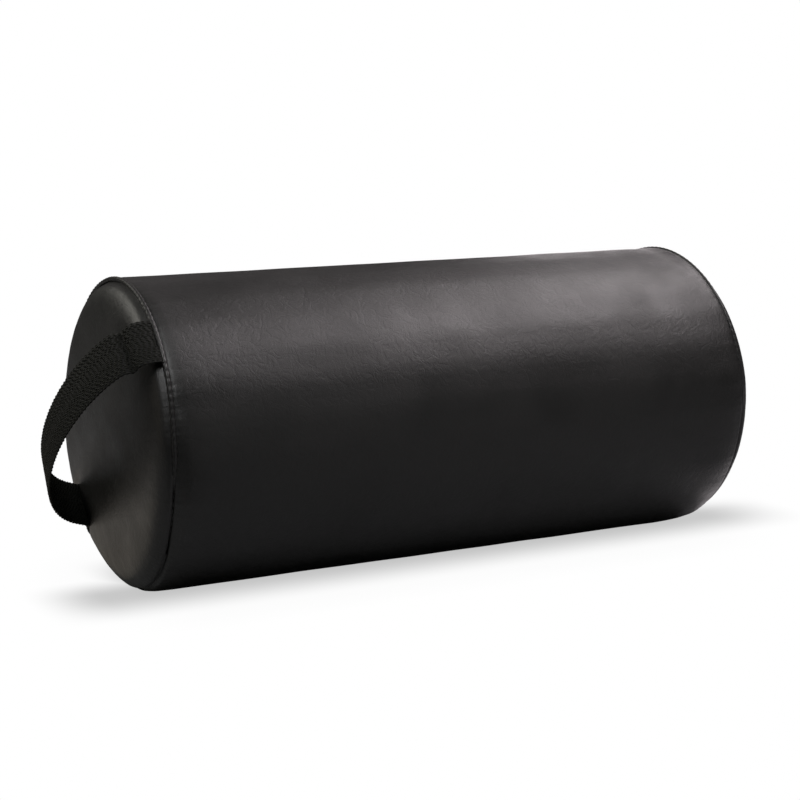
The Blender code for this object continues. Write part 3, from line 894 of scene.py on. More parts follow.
# Small puckers between the stitches, wider gathers behind them, and wrinkles everywhere
def unevenness(x, r, distance, end, angles):
    cosA, sinA = np.cos(angles), np.sin(angles)
    lift = np.cos(angles * seamStitches(end)) * coverLook["puckerHeight"]
    lift *= math.exp(-distance / coverLook["puckerReach"])
    past = distance / coverLook["gatherStart"]
    fade = past * math.exp(1 - past) if past < 1 else math.exp(
        (coverLook["gatherStart"] - distance) / coverLook["gatherReach"])
    around, apart = coverLook["gatherScale"]
    lift += noiseRing(cosA * around, sinA * around, end["side"] * apart) * coverLook["gatherHeight"] * fade
    long, around = coverLook["wrinkleScale"]
    return lift + coverLook["wrinkleHeight"] * noiseRing(x * long, cosA * r * around, sinA * r * around)


# How deep the skin is drawn in beside a seam; height is -1 at the floor and 1 at the top
def grooveAt(end, onPanel, distance, height):
    low, high = coverLook["panelGroove" if onPanel or end is plainEnd else "sideGroove"]
    below, above = coverLook["grooveDepth"][end["word"]]
    floorDepth, floorWidth = coverLook["lowGroove"]
    valley = 1 - fade(height, *coverLook["valleyBelow"])
    upper = ridge(height - coverLook["valleyTop"])
    width = mix(mix(floorWidth, low, valley), high, upper)
    groove = mix(mix(floorDepth, below, valley), above, upper) * hump(distance, width)
    depth, width = coverLook["slit"]
    return groove + depth * onlyLine(height) * hump(distance, width)


# The side's radius beside the zip: folded, stitched edges and the slot between them
def openForZip(rs, x, across):
    inside = 1 - smooth((np.abs(x) - zipLook["slotEnd"]) / zipLook["slotFade"] + 0.5)
    height, middle, width = zipLook["fold"]
    fold = height * hump(across - middle, width)
    dip = zipLook["stitchDip"] * hump(across - zipLook["stitchLine"], zipLook["stitchWidth"])
    near = across < zipLook["reach"]
    rs = np.where(near, rs + inside * (fold - dip), rs)
    edge = 1 - fade(across, *zipLook["slotEdge"])
    return np.where(near, rs + inside * edge * (zipLook["slotFloor"] - rs), rs)


def makeCover():
    factor = coverLook["fineFactor"]
    coarse = columnAngles(coverLook["coarseColumns"])
    fine = fineAngles(coarse, factor)
    swollen = swellCover()
    points = []
    for x, r, distance, end, onPanel, slope in coverRows():
        angles = fine if distance < coverLook["fineReach"] else coarse
        sinA, cosA = np.sin(angles), np.cos(angles)
        lift = unevenness(x, r, distance, end, angles)
        if swollen:
            kept = swellLook["share"] + swellLook["seamShare"] * math.exp(-distance / swellLook["seamReach"])
            table, place = (end["word"], r) if onPanel else ("side", x)
            lift += readSwell(*swollen[table], place, angles) * kept
        xs = np.full(len(angles), x)
        rs = r + seamLift(end, sinA) * hump(distance, coverLook["seamRiseReach"][end["word"]])
        groove = grooveAt(end, onPanel, distance, sinA)
        if onPanel:
            if end is handleEnd:
                lift -= pressedBy(rs * cosA, rs * sinA)
            long = math.hypot(1, slope)
            calm, reach = coverLook["panelCalm"]
            xs += end["side"] * (lift * mix(calm, 1.0, min(1.0, distance / reach)) - groove / long)
            share, reach = coverLook["panelSpread"]
            rs += lift * share * math.exp(-distance / reach) - groove * slope / long
        else:
            across = zipAcross(angles)
            full = smooth(distance / coverLook["swollenStart"]) * fade(across, *zipLook["fullFrom"])
            rs = openForZip(rs + lift - groove + coverLook["swollen"] * full, x, across)
        points.append(np.stack([xs, rs * cosA, rs * sinA], 1))
    tips = [ring.mean(axis=0)[None, :] for ring in (points[0], points[-1])]
    faces = skinFaces([len(ring) for ring in points], factor)
    everything = inFrame(restOnFloor(settle(np.concatenate([tips[0], *points, tips[1]]))))
    return addPiece("bolster_cover", everything, faces, coverLeather)


def seamStitches(end):
    return round(math.tau * seamRadius(end) / coverLook["puckerPitch"])


def seamLift(end, height):
    high, low = np.clip(height, 0.0, 1.0), np.clip(-height, 0.0, 1.0)
    return coverLook["seamRise"][end["word"]] * high**2 + coverLook["seamSpread"] * low**2


# 1 where a seam stands as a clear ridge, 0 where only a dark line shows
def ridge(height):
    return fade(height, *coverLook["ridgeFrom"])


# 1 lower down, where the bead is drawn in and the seam is a narrow line
def onlyLine(height):
    return fade(height, *coverLook["lineBelow"])


# How deep the webbing's lower root presses into the padded end, along it and at a place on the end
def pressAlong(along):
    return strap["press"] * (1 - fade(along, *strap["pressEnd"]))


def pressedBy(y, z):
    along = y * math.cos(strap["angle"]) + z * math.sin(strap["angle"])
    across = y * math.sin(strap["angle"]) - z * math.cos(strap["angle"]) + strap["pressShift"]
    return pressAlong(along) * (1 - fade(np.abs(across) - strap["width"] / 2, *strap["pressSide"]))


cover = makeCover()
print("Cover:", len(cover.data.polygons), "faces")
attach(cover, "bolster")
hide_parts("side_panel", "handle_end_panel", "plain_end_panel", "foam_core", "wadding_wrap",
            "handle_end_wadding", "plain_end_wadding")


# Growing pieces along paths with geometry nodes, from even points whose number one of the inputs gives
def newGrower(name, countInput, inputs):
    inputs = {"Geometry": "Geometry", **inputs, "Finish": "Material"}
    tree, given, result = newTree("Geometry", name, inputs, {"Geometry": "Geometry"})
    curve = firstOf(tree, "GeometryNodeMeshToCurve", {0: given["Geometry"]})
    even = firstOf(tree, "GeometryNodeResampleCurve", {"Curve": curve, "Count": given[countInput]})
    return tree, given, result, even


# Of the sockets with one name, the one that the node's type of data uses
def liveSocket(sockets, name):
    return [socket for socket in sockets if socket.enabled and socket.name == name][0]


def finishGrower(tree, given, result, geometry):
    real = firstOf(tree, "GeometryNodeRealizeInstances", {0: geometry})
    shaded = firstOf(tree, "GeometryNodeSetShadeSmooth", {0: real})
    painted = firstOf(tree, "GeometryNodeSetMaterial", {0: shaded, "Material": given["Finish"]})
    feed(tree, result, {"Geometry": painted})
    return tree


# Paths as bare edges, with named values at their points
def pathCarrier(paths, closed=False, values=None):
    edges = []
    start = 0
    for path in paths:
        edges += [(start + k, start + k + 1) for k in range(len(path) - 1)]
        if closed:
            edges.append((start + len(path) - 1, start))
        start += len(path)
    mesh = bpy.data.meshes.new("carrier")
    mesh.from_pydata([tuple(p) for path in paths for p in path], edges, [])
    for name, (kind, data) in (values or {}).items():
        flat = np.asarray(data, dtype=float).ravel()
        field = "vector" if kind == "FLOAT_VECTOR" else "value"
        mesh.attributes.new(name, kind, "POINT").data.foreach_set(field, flat)
    return addObject("carrier", mesh)


def growPiece(name, carrier, tree, values):
    modifier = carrier.modifiers.new("grow", "NODES")
    modifier.node_group = tree
    for item in tree.interface.items_tree:
        if item.item_type == "SOCKET" and item.in_out == "INPUT" and item.name in values:
            modifier[item.identifier] = values[item.name]
    mesh = bpy.data.meshes.new_from_object(evaluated(carrier))
    mesh.name = name
    bpy.data.objects.remove(carrier)
    return addObject(name, mesh)


# Seam beads: the folded seam allowance, pinched by every stitch
beadLook = {
    "radius": {"handle_end": 0.0019, "plain_end": 0.0013},
    "proud": {"handle_end": (-0.0023, 0.0002), "plain_end": (-0.0013, -0.0003)},  # below, and at the top
    "inset": {"handle_end": 0.0004, "plain_end": 0.0007},
    "sink": 0.0028,  # further in lower down
    "pinch": 0.14,
    "pinchPower": 2.0,  # how narrow a pinch is
    "lumps": 0.10,
    "lumpNoise": (160.0, 2.0),
    "samples": 7,  # along the bead for each stitch
    "sides": 14,
    "seed": 3.7,
    "points": 720,
}


def makeBeadTree():
    tree, given, result, even = newGrower("seamBead", "Samples", {
        "Samples": 900, "Stitches": 131.0, "Radius": 0.002, "Pinch": 0.1, "Lumps": 0.1, "Seed": 0.0,
        "Sides": 12})
    factor = addNode(tree, "GeometryNodeSplineParameter").outputs["Factor"]
    turns = mathNode(tree, "MULTIPLY", mathNode(tree, "MULTIPLY", factor, given["Stitches"]), math.tau)
    pinched = mathNode(tree, "MULTIPLY_ADD", mathNode(tree, "COSINE", turns), 0.5, 0.5)
    pinched = mathNode(tree, "POWER", pinched, beadLook["pinchPower"])
    pinched = mathNode(tree, "MULTIPLY", pinched, given["Pinch"])
    place = firstOf(tree, "GeometryNodeInputPosition")
    lumpy = noiseNode(tree, place, *beadLook["lumpNoise"], seed=given["Seed"])
    lumpy = mathNode(tree, "MULTIPLY", mathNode(tree, "SUBTRACT", lumpy, 0.5), given["Lumps"])
    scale = mathNode(tree, "ADD", mathNode(tree, "SUBTRACT", 1.0, pinched), lumpy)
    ring = firstOf(tree, "GeometryNodeCurvePrimitiveCircle", {
        "Resolution": given["Sides"], "Radius": given["Radius"]})
    tube = firstOf(tree, "GeometryNodeCurveToMesh", {"Curve": even, "Profile Curve": ring, "Scale": scale})
    spot = splitParts(tree, firstOf(tree, "GeometryNodeInputPosition"))
    pressed = joinParts(tree, spot["X"], spot["Y"], mathNode(tree, "MAXIMUM", spot["Z"], 0.0))
    flat = firstOf(tree, "GeometryNodeSetPosition", {"Geometry": tube, "Position": pressed})
    return finishGrower(tree, given, result, flat)


# Ring of points at a seam, moved out from it along the side's radius and along the axis
def seamRing(end, outward=0.0, along=0.0):
    angles = roundAngles(beadLook["points"])
    height = np.sin(angles)
    outward = outward + mix(*beadLook["proud"][end["word"]], ridge(height))
    outward = outward - beadLook["sink"] * onlyLine(height)
    r = seamRadius(end) + outward + seamLift(end, height)
    x = np.full(len(angles), end["side"] * (seamDistance(end) - beadLook["inset"][end["word"]] + along))
    return inFrame(settle(np.stack([x, r * np.cos(angles), r * height], 1)))


beadTree = makeBeadTree()
for end in (handleEnd, plainEnd):
    stitches = seamStitches(end)
    bead = growPiece(end["word"] + "_bead", pathCarrier([seamRing(end)], closed=True), beadTree, {
        "Samples": stitches * beadLook["samples"], "Stitches": float(stitches),
        "Radius": beadLook["radius"][end["word"]], "Pinch": beadLook["pinch"], "Lumps": beadLook["lumps"],
        "Seed": beadLook["seed"] + end["side"], "Sides": beadLook["sides"], "Finish": beadLeather})
    outsideOut(bead)
    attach(bead, "bolster")
    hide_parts(end["word"] + "_welt")
print("Seam beads made")


# Sewing thread: short rounded stitches laid along a path
threadLook = {
    "thickness": 0.0006,
    "segments": 6,
    "rings": 6,
    "tilt": 0.06,
    "seed": 11,
    "seam": 0.0036,  # length of one stitch
    "zip": 0.0024,
    "zipCount": 130,
    "zipOverrun": 0.004,
    "flank": {"handle_end": 0.72, "plain_end": 0.50},  # how far out from the bead's middle, in its radii
    "flankShares": (0.8, 1.15),  # outwards and along the axis
    "lowest": 0.0004,
}


def makeStitchTree():
    tree, given, result, spots = newGrower("stitchLine", "Count", {
        "Count": 100, "Length": 0.0036, "Thickness": 0.0007, "Tilt": 0.05, "Seed": 0, "Segments": 6,
        "Rings": 6})
    tangent = firstOf(tree, "GeometryNodeInputTangent")
    turn = firstOf(tree, "FunctionNodeAxesToRotation", {
        "Primary Axis": tangent, "Secondary Axis": (0.0, 0.0, 1.0)}, primary_axis="Z", secondary_axis="X")
    ball = firstOf(tree, "GeometryNodeMeshUVSphere", {
        "Segments": given["Segments"], "Rings": given["Rings"], "Radius": 0.5})
    size = joinParts(tree, given["Thickness"], given["Thickness"], given["Length"])
    spread = addNode(tree, "FunctionNodeRandomValue", {"Seed": given["Seed"]})
    tree.links.new(mathNode(tree, "MULTIPLY", given["Tilt"], -1.0), liveSocket(spread.inputs, "Min"))
    tree.links.new(given["Tilt"], liveSocket(spread.inputs, "Max"))
    angle = liveSocket(spread.outputs, "Value")
    jog = firstOf(tree, "FunctionNodeAxisAngleToRotation", {"Axis": (0.0, 1.0, 0.0), "Angle": angle})
    turned = firstOf(tree, "FunctionNodeRotateRotation", {0: turn, 1: jog}, rotation_space="LOCAL")
    laid = firstOf(tree, "GeometryNodeInstanceOnPoints", {
        "Points": spots, "Instance": ball, "Rotation": turned, "Scale": size})
    return finishGrower(tree, given, result, laid)


stitchTree = makeStitchTree()


# A row of stitches along a path
def sew(name, path, count, length, closed=False):
    piece = growPiece(name, pathCarrier([path], closed=closed), stitchTree, {
        "Count": count, "Length": length, "Thickness": threadLook["thickness"], "Tilt": threadLook["tilt"],
        "Seed": threadLook["seed"], "Segments": threadLook["segments"], "Rings": threadLook["rings"],
        "Finish": seamThread})
    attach(piece, "bolster")


for end in (handleEnd, plainEnd):
    flank = beadLook["radius"][end["word"]] * threadLook["flank"][end["word"]]
    path = seamRing(end, *[flank * share for share in threadLook["flankShares"]])
    path[:, 2] = np.maximum(path[:, 2], threadLook["lowest"])
    sew(end["word"] + "_seam_thread", path, seamStitches(end), threadLook["seam"], closed=True)
print("Seam thread sewn")


# Turns the webbing's own directions into the bolster's
def strapTurn():
    along = np.array([0.0, math.cos(strap["angle"]), math.sin(strap["angle"])])
    outward = np.array([-1.0, 0.0, 0.0])
    return np.stack([along, np.cross(outward, along), outward], 1)


# Points given in the webbing's own directions, and one point above its middle, in the model's frame
def strapPoints(points):
    origin = np.array([strap["hingeInset"] - bolster["halfLength"], 0.0, bolster["axisHeight"]])
    return points @ strapTurn().T + origin


def heightOnPanel(along, across):
    place = strapTurn() @ np.array([along, across, 0.0])
    radius = min(np.linalg.norm(place), seamRadius(handleEnd))
    distance = panelDistance(handleEnd, radius)
    panel = settle(np.array([[-distance, place[1], place[2]]]))[0]
    slope = (panelDistance(handleEnd, radius - strap["slopeStep"]) - distance) / strap["slopeStep"]
    return strap["hingeInset"] - bolster["halfLength"] - panel[0] + strap["lift"] * math.hypot(1, slope)


# The webbing's middle line: one smooth curve drawn by its controls, held above the panel at the lower root
def strapLine():
    controls = np.array([(a * strap["halfSpan"], o * strap["rise"]) for a, o in strap["controls"]])
    line = []
    for share in np.arange(strap["steps"] + 1) / strap["steps"]:
        points = controls
        while len(points) > 1:
            points = mix(points[:-1], points[1:], share)
        along, out = points[0]
        hangs = -strap["sag"] * max(math.sin(math.pi * share), 0.0) ** strap["sagPower"]
        if share < 0.5:
            edges = [hangs + side * strap["width"] / 2 for side in (-1, 0, 1)]
            out = max(out, *[heightOnPanel(along, across) - pressAlong(along) for across in edges])
        line.append((along, hangs, out))
    return np.array(line)


def unit(vectors):
    return vectors / np.linalg.norm(vectors, axis=1)[:, None]


# The middle line with its across and through directions, in the model's frame
def strapSections():
    line = strapLine()
    soft = np.array(strap["easing"]) / sum(strap["easing"])
    beyond = len(soft) // 2
    padded = np.concatenate([[line[0]] * beyond, line, [line[-1]] * beyond])
    eased = sum(padded[k:k + len(line)] * weight for k, weight in enumerate(soft))
    line[beyond + 1:-beyond - 1] = eased[beyond + 1:-beyond - 1]
    back = travelled(line[::-1])[::-1]
    tuck = 1 - smooth(back / strap["tuckLength"])
    line[:, 0] += strap["tuck"][0] * tuck
    line[:, 2] -= strap["tuck"][1] * tuck
    sideways = np.array([0.0, 1.0, 0.0])
    out = np.cross(unit(np.gradient(line, axis=0)), sideways)
    line -= out * (strap["foldDepth"] * hump(back - strap["foldPlace"], strap["foldWidth"]))[:, None]
    tangent = unit(np.gradient(line, axis=0))
    across = unit(sideways - tangent * tangent[:, 1:2])
    turn = strap["twist"] * np.sin(math.pi * np.arange(len(line)) / strap["steps"])[:, None]
    across = across * np.cos(turn) + np.cross(tangent, across) * np.sin(turn)
    turning = strapTurn().T
    return strapPoints(line), across @ turning, np.cross(tangent, across) @ turning


# Yarns that run over and under the weft along the webbing
def makeStrapTree():
    tree, given, result, even = newGrower("webbingYarns", "Samples", {
        "Samples": 200, "Turns": 50.0, "Wave": 0.0002, "Half width": 0.0009, "Half height": 0.0003,
        "Sides": 6, "Seed": 0.0})

    def named(label, kind="FLOAT"):
        node = addNode(tree, "GeometryNodeInputNamedAttribute", {"Name": label}, data_type=kind)
        return liveSocket(node.outputs, "Attribute")

    wave = mathNode(tree, "MULTIPLY_ADD", named("travel"), given["Turns"], named("phase"))
    wave = mathNode(tree, "SINE", mathNode(tree, "MULTIPLY", wave, math.tau))
    square = mathNode(tree, "MULTIPLY", wave, strap["yarnSquare"])
    square = firstOf(tree, "ShaderNodeClamp", {"Value": square, "Min": -1.0, "Max": 1.0})
    place = firstOf(tree, "GeometryNodeInputPosition")
    uneven = noiseNode(tree, place, *strap["yarnNoise"], seed=given["Seed"])
    uneven = mathNode(tree, "SUBTRACT", uneven, 0.5)
    uneven = mathNode(tree, "MULTIPLY", uneven, strap["yarnUneven"])
    rise = mathNode(tree, "MULTIPLY", mathNode(tree, "ADD", square, uneven), given["Wave"])
    through = named("through", "FLOAT_VECTOR")
    offset = firstOf(tree, "ShaderNodeVectorMath", {0: through, "Scale": rise}, operation="SCALE")
    moved = firstOf(tree, "GeometryNodeSetPosition", {"Geometry": even, "Offset": offset})
    framed = firstOf(tree, "GeometryNodeSetCurveNormal", {"Curve": moved, "Normal": through}, mode="FREE")
    ring = firstOf(tree, "GeometryNodeCurvePrimitiveCircle", {"Resolution": given["Sides"], "Radius": 1.0})
    size = joinParts(tree, given["Half height"], given["Half width"], 1.0)
    oval = firstOf(tree, "GeometryNodeTransform", {"Geometry": ring, "Scale": size})
    swell = mathNode(tree, "MULTIPLY_ADD", square, *strap["yarnSwell"])
    tube = firstOf(tree, "GeometryNodeCurveToMesh", {
        "Curve": framed, "Profile Curve": oval, "Scale": swell, "Fill Caps": True})
    return finishGrower(tree, given, result, tube)


strapTree = makeStrapTree()


# A closed strip from rings of points, with the UV map of its weave in metres: along it and across it
def wovenStrip(name, points, alongs, acrosses, finish):
    strip = addPiece(name, points, tubeFaces(len(alongs), len(acrosses)), finish)
    weave = strip.data.uv_layers.new(name="weaveMap")
    for loop in strip.data.loops:
        k, j = divmod(loop.vertex_index, len(acrosses))
        weave.data[loop.index].uv = (alongs[k], acrosses[j])
    return outsideOut(strip)


# The woven core that shows between the yarns
def strapCore(line, across, through, travel):
    half, deep, edge = strap["width"] / 2, strap["coreHalf"], strap["coreEdge"]
    outline = [(half, 0.0), (half - edge, deep), (0.0, deep), (edge - half, deep), (-half, 0.0),
               (edge - half, -deep), (0.0, -deep), (half - edge, -deep)]
    points = [line[k] + across[k] * a + through[k] * t for k in range(len(line)) for a, t in outline]
    return wovenStrip("core", points, travel, [a for a, t in outline], webbingCore)


# One half of the webbing: the core, and the yarns that float over it on both faces
def makeStrapHalf(name, low, high):
    line, across, through = strapSections()
    line, across, through, travel = (rows[low:high] for rows in (line, across, through, travelled(line)))
    pitch = strap["width"] / strap["columns"]
    paths, phases, throughs = [], [], []
    scatter = np.random.default_rng(strap["seed"])
    for face in (1, -1):
        for column in range(strap["columns"]):
            place = -strap["width"] / 2 + pitch * (column + 0.5)
            height = strap["yarnHeight"] * face
            if column in (0, strap["columns"] - 1):
                height *= strap["outerColumn"]
            paths.append(line + across * place + through * height)
            phases += [scatter.random()] * len(line)
            throughs.append(through * face)
    carrier = pathCarrier(paths, values={
        "phase": ("FLOAT", phases), "through": ("FLOAT_VECTOR", np.concatenate(throughs)),
        "travel": ("FLOAT", np.tile(travel, len(paths)))})
    yarns = growPiece(name, carrier, strapTree, {
        "Samples": round((travel[-1] - travel[0]) / strap["yarnSample"]),
        "Turns": 1 / (4 * strap["weftPitch"]),  # a yarn passes over two wefts and under two
        "Wave": strap["yarnWave"], "Half width": pitch * 0.5, "Half height": strap["yarnHalf"],
        "Sides": strap["sides"], "Seed": strap["yarnSeed"], "Finish": webbingYarn})
    yarns.data.uv_layers.new(name="weaveMap")
    return joinPieces([yarns, strapCore(line, across, through, travel)])


def joinPieces(pieces):
    with bpy.context.temp_override(
            active_object=pieces[0], selected_objects=pieces, selected_editable_objects=pieces):
        bpy.ops.object.join()
    return pieces[0]


strapLower = makeStrapHalf("handle_strap_lower", 0, strap["split"] + 1)
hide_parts("handle_root_lower", "handle_loop")
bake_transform(strapLower)
strapUpper = makeStrapHalf("handle_strap_upper", strap["split"], strap["steps"] + 1)
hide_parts("handle_root_upper", "handle_loop")
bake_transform(strapUpper)
print("Webbing:", len(strapLower.data.polygons) + len(strapUpper.data.polygons), "faces")


# Zip at the back. Points are given by x, the distance across from its middle (down is more) and the radius
zipSizes = {
    "sliderHome": 0.1942,
    "pinHeight": 0.1187,
    "halfLength": 0.200,
    "tape": (0.0020, 0.0160),  # its edges, across
    "tapeRadius": 0.1132,
    "tapeHalf": 0.0003,
    "tapeOverrun": 0.012,
    "tapeGrid": (90, 15),
    "toothPitch": 0.0016,
    "wire": 0.00062,
    "wireHead": 1.25,  # how much thicker it is at a turn's head
    "wireSides": 5,
    # one turn of coil: how far along the pitch, the distance across, and the radius
    "turn": ((0.0, 0.0032, 0.11405), (0.0, 0.00095, 0.11405), (0.06, 0.00035, 0.114675),
             (0.12, 0.00095, 0.1153), (0.22, 0.001775, 0.1154), (0.42, 0.0032, 0.1152),
             (0.62, 0.0034, 0.114675), (1.0, 0.0032, 0.11405)),
    "turnHead": (2, 3),  # which of these points are its head
    "thread": 0.1151,
    "threadPoints": 200,
}


def zipPoint(x, across, radius):
    angle = zipLook["angle"] - across / bolster["radius"]
    return np.array([x, radius * math.cos(angle), radius * math.sin(angle) + bolster["axisHeight"]])


def makeTape(row, side):
    reach = zipSizes["halfLength"] + zipSizes["tapeOverrun"]
    rings, columns = zipSizes["tapeGrid"]
    spread = np.linspace(*zipSizes["tape"], columns)
    xs = np.linspace(-reach, reach, rings)
    outline = [(a, zipSizes["tapeRadius"] + zipSizes["tapeHalf"]) for a in spread]
    outline += [(a, zipSizes["tapeRadius"] - zipSizes["tapeHalf"]) for a in spread[::-1]]
    points = [zipPoint(x, a * side, r) for x in xs for a, r in outline]
    tape = wovenStrip("tape_" + row, points, xs, [a for a, r in outline], zipTapeFinish)
    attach(tape, "bolster")
    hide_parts("zip_tape_" + row)


# One row of coil: a nylon wire that winds round and round along the tape's edge
def makeCoilTree():
    tree, given, result, spots = newGrower("coilTeeth", "Count", {"Count": 250, "Tooth": "Object"})
    tooth = addNode(tree, "GeometryNodeObjectInfo", {"Object": given["Tooth"]}).outputs["Geometry"]
    laid = firstOf(tree, "GeometryNodeInstanceOnPoints", {"Points": spots, "Instance": tooth})
    return finishGrower(tree, given, result, laid)


# The direction ahead at each point of a bent path
def pathWays(path):
    last = len(path) - 1
    return [(path[min(k + 1, last)] - path[max(k - 1, 0)]).normalized() for k in range(last + 1)]


# One turn of the coil round the zip's angle, as a bent tube
def makeTooth(side):
    bend = [Vector(zipPoint(share * zipSizes["toothPitch"], across * side, radius))
            for share, across, radius in zipSizes["turn"]]
    points = []
    sides = zipSizes["wireSides"]
    for k, (place, ahead) in enumerate(zip(bend, pathWays(bend))):
        first = ahead.cross(Vector((1.0, 0.0, 0.0))).normalized()
        second = ahead.cross(first)
        thick = zipSizes["wire"] / 2 * (zipSizes["wireHead"] if k in zipSizes["turnHead"] else 1.0)
        for s in range(sides):
            around = math.tau * s / sides
            points.append(place + (first * math.cos(around) + second * math.sin(around)) * thick)
    return outsideOut(addPiece("tooth", points, tubeFaces(len(bend), sides, caps=False)))


coilTree = makeCoilTree()


def makeCoil(row, side, shift):
    pitch = zipSizes["toothPitch"]
    reach = zipSizes["halfLength"] - pitch
    count = int(2 * reach / pitch)
    tooth = makeTooth(side)
    path = [(shift - reach, 0.0, 0.0), (shift - reach + (count - 1) * pitch, 0.0, 0.0)]
    coil = growPiece("coil_" + row, pathCarrier([path]), coilTree, {
        "Count": count, "Tooth": tooth, "Finish": coilNylon})
    bpy.data.objects.remove(tooth)
    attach(coil, "bolster")
    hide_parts("zip_coil_" + row)


for row, side, shift in (("upper", -1, 0.0), ("lower", 1, zipSizes["toothPitch"] / 2)):
    makeTape(row, side)
    makeCoil(row, side, shift)
for row, side in (("upper", -1), ("lower", 1)):
    reach = zipLook["slotEnd"] + threadLook["zipOverrun"]
    path = [zipPoint(x, side * zipLook["stitchLine"], zipSizes["thread"])
            for x in np.linspace(-reach, reach, zipSizes["threadPoints"])]
    sew("zip_thread_" + row, path, threadLook["zipCount"], threadLook["zip"])
print("Zip tapes and coils made")


# Zip hardware in the zip's own directions: x along it, y across it (down is more), z out from the axis
def zipPlace(point):
    x, y, z = point
    c, s = math.cos(zipLook["angle"]), math.sin(zipLook["angle"])
    return (x, y * s + z * c, z * s - y * c + bolster["axisHeight"])


edgeShares = (0.0, 0.15, 0.5)  # where the points of a rounded edge lie, as shares of its rounding


# A block with rounded edges, which a shape rule may bend further
def softBlock(low, high, rounding, inner=4, shape=tuple):
    low, high = np.array(low), np.array(high)
    half, middle = (high - low) / 2, (high + low) / 2
    stops = []
    for h in half:
        outer = [h - share * rounding for share in edgeShares]
        stops.append([-o for o in outer] + list(np.linspace(rounding - h, h - rounding, inner)) + outer[::-1])
    points, faces = [], []
    for axis in range(3):
        first, second = (axis + 1) % 3, (axis + 2) % 3
        n = len(stops[second])
        for sign in (-1, 1):
            start = len(points)
            for a in stops[first]:
                for b in stops[second]:
                    place = np.zeros(3)
                    place[[axis, first, second]] = sign * half[axis], a, b
                    core = np.clip(place, rounding - half, half - rounding)
                    away = place - core
                    place = core + away / max(np.linalg.norm(away), 1e-12) * rounding + middle
                    points.append(zipPlace(shape(place)))
            corners = [start + k * n + j for k in range(len(stops[first]) - 1) for j in range(n - 1)]
            faces += [(c, c + 1, c + n + 1, c + n) for c in corners]
    return outsideOut(addPiece("block", points, faces, enamel))


# A bar of oval section that follows a bent path
def softBar(path, halfWide, halfDeep, wide, sides=12):
    path = [Vector(p) for p in path]
    wide = Vector(wide)
    points = []
    for place, ahead in zip(path, pathWays(path)):
        across = (wide - ahead * ahead.dot(wide)).normalized()
        deep = ahead.cross(across)
        for turn in roundAngles(sides):
            away = across * math.cos(turn) * halfWide + deep * math.sin(turn) * halfDeep
            points.append(zipPlace(place + away))
    return outsideOut(addPiece("bar", points, tubeFaces(len(path), sides), enamel))


def hardware(name, parts, body, *nodes):
    piece = joinPieces(parts) if len(parts) > 1 else parts[0]
    piece.name = name
    piece.data.name = name
    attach(piece, body)
    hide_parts(*nodes)


slider = {
    "halfLength": 0.0055,
    "halfWidth": 0.0046,
    # lowest and highest corner, rounding, and points along each straight part
    "blocks": {
        "topPlate": ((-0.0055, -0.0046, 0.1159), (0.0055, 0.0046, 0.1171), 0.00045, 9),
        "bottomPlate": ((-0.0055, -0.0046, 0.1114), (0.0055, 0.0046, 0.1126), 0.0003, 6),
        "wedge": ((0.0019, -0.00028, 0.1123), (0.0052, 0.00028, 0.1162), 0.0001, 4),
        "upperWall": ((-0.0052, -0.0046, 0.1141), (0.0052, -0.0036, 0.1163), 0.0003, 6),
        "lowerWall": ((-0.0052, 0.0036, 0.1141), (0.0052, 0.0046, 0.1163), 0.0003, 6),
    },
    "taper": (0.16, 1.5),  # how much it narrows towards its tail, and how late
    "shoulder": (0.8, 0.10),  # where it narrows again at the front, and by how much
    "crownFrom": 0.1166,
    "crown": 0.0003,
    "crownDrop": 0.0002,
    "bail": {"half": 0.00255, "foot": 0.1165, "straight": 0.1183375, "top": 0.11985, "corner": 0.0016,
             "bendFrom": 0.15, "bendPoints": 7, "thick": (0.0008, 0.00045)},
}


# Shield-like outline: full at the shoulders, drawn in towards the tail, with a slight crown
def sliderShape(place):
    x, y, z = place
    share = (x + slider["halfLength"]) / (2 * slider["halfLength"])
    taper, power = slider["taper"]
    front, narrowing = slider["shoulder"]
    y *= 1 - taper * (1 - share) ** power - narrowing * max(share - front, 0.0) / (1 - front)
    if z > slider["crownFrom"]:
        z += slider["crown"] * (1 - (y / slider["halfWidth"]) ** 2) - slider["crownDrop"]
    return (x + zipSizes["sliderHome"], y, z)


def makeSlider():
    parts = [softBlock(*block, sliderShape) for block in slider["blocks"].values()]
    bail = slider["bail"]
    half, corner = bail["half"], bail["corner"]
    bend = [(-half, bail["foot"]), (-half, bail["straight"])]
    bend += [(corner * (1 - math.cos(t)) - half, bail["top"] - corner * (1 - math.sin(t)))
             for t in np.linspace(bail["bendFrom"], math.pi / 2, bail["bendPoints"])]
    bend += [(-x, z) for x, z in bend[::-1]]
    path = [(x + zipSizes["sliderHome"], 0.0, z) for x, z in bend]
    parts.append(softBar(path, *bail["thick"], (0.0, 1.0, 0.0)))
    hardware("slider_body", parts, "slider", "zip_slider")


pull = {
    "tab": (0.0040, 0.0240, 0.0031, 0.45),  # start, end, half width and how square its corners are
    "slot": (0.0125, 0.0205, 0.0011, 0.6),
    "halfThick": 0.0005,
    "rounding": 0.00022,
    "waist": (0.10, 0.0095, 0.004),  # depth, place and length
    "pin": 0.00045,
    "pinHalf": 0.0017,
    "pinPoints": 4,
    "arm": (0.0012, 0.0022),
    "armEnd": 0.0052,
    "armThick": 0.00046,
    "armPoints": 8,
}


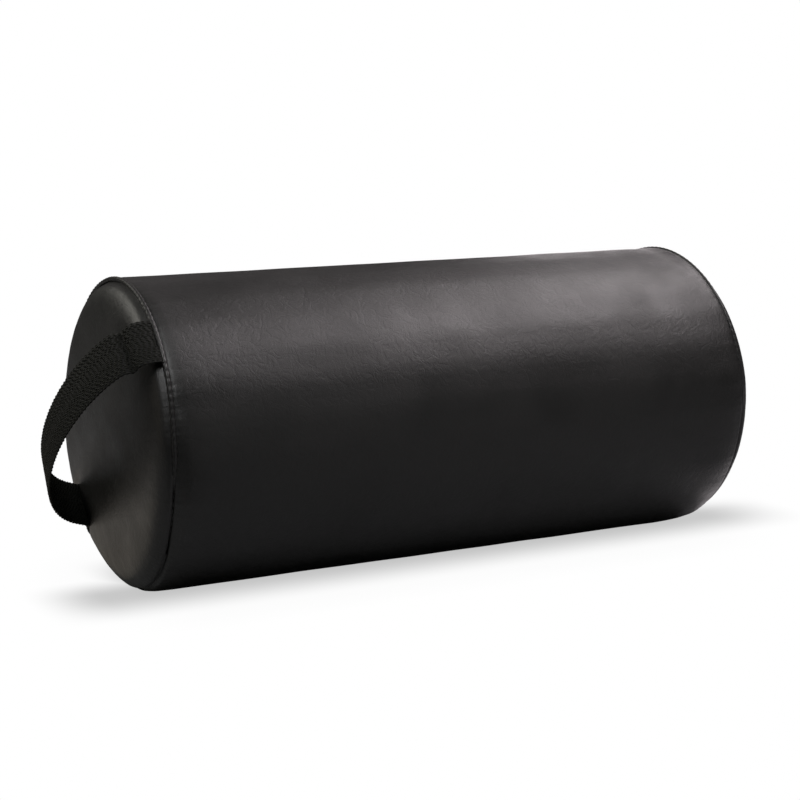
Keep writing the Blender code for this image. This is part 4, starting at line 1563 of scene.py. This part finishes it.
# Outline of a rounded bar between two ends, walked round evenly
def stadium(start, end, half, corner, count=48):
    points = []
    for turn in roundAngles(count, 0.5):
        c, s = math.cos(turn), math.sin(turn)
        x = (end - start) / 2 * math.copysign(abs(c) ** corner, c) + (end + start) / 2
        points.append((x, half * math.copysign(abs(s) ** corner, s)))
    return np.array(points)


def makePull():
    home, height = zipSizes["sliderHome"], zipSizes["pinHeight"]
    thick, rounding = pull["halfThick"], pull["rounding"]
    outer, slot = stadium(*pull["tab"]), stadium(*pull["slot"])
    away = outer - slot
    away *= rounding / np.linalg.norm(away, axis=1)[:, None]
    depth, place, length = pull["waist"]
    outer[:, 1] *= 1 - depth * hump(outer[:, 0] - place, length)
    flat = thick - rounding
    section = ((outer, -flat), (outer, flat), (outer - away, thick), (slot + away, thick),
               (slot, flat), (slot, -flat), (slot + away, -thick), (outer - away, -thick))
    points = [zipPlace((edge[k][0] + home, edge[k][1], z + height))
              for k in range(len(outer)) for edge, z in section]
    faces = tubeFaces(len(outer), len(section), closed=True)
    parts = [outsideOut(addPiece("tab", points, faces, enamel))]
    inner, far = pull["arm"]
    along = np.linspace(-pull["pin"], pull["armEnd"], pull["armPoints"])
    for side in (-1, 1):
        path = [(home + x, side * (inner + far) / 2, height) for x in along]
        parts.append(softBar(path, (far - inner) / 2, pull["armThick"], (0.0, 1.0, 0.0)))
    across = np.linspace(-pull["pinHalf"], pull["pinHalf"], pull["pinPoints"])
    parts.append(softBar([(home, y, height) for y in across], pull["pin"], pull["pin"], (1.0, 0.0, 0.0)))
    hardware("pull_tab", parts, "pull", "zip_pull")


makeSlider()
makePull()
# Stops at the two ends of the coils: lowest and highest corner, rounding, and points along each straight part
zipStops = {
    "top_stop_upper": ((0.2003, -0.0036, 0.1139), (0.2033, -0.0004, 0.1162), 0.0006, 4),
    "top_stop_lower": ((0.2003, 0.0004, 0.1139), (0.2033, 0.0036, 0.1162), 0.0006, 4),
    "bottom_stop": ((-0.2033, -0.0036, 0.1139), (-0.2003, 0.0036, 0.1162), 0.0007, 6),
}
for name, block in zipStops.items():
    hardware(name, [softBlock(*block)], "bolster", "zip_" + name)
print("Slider, pull and stops made")
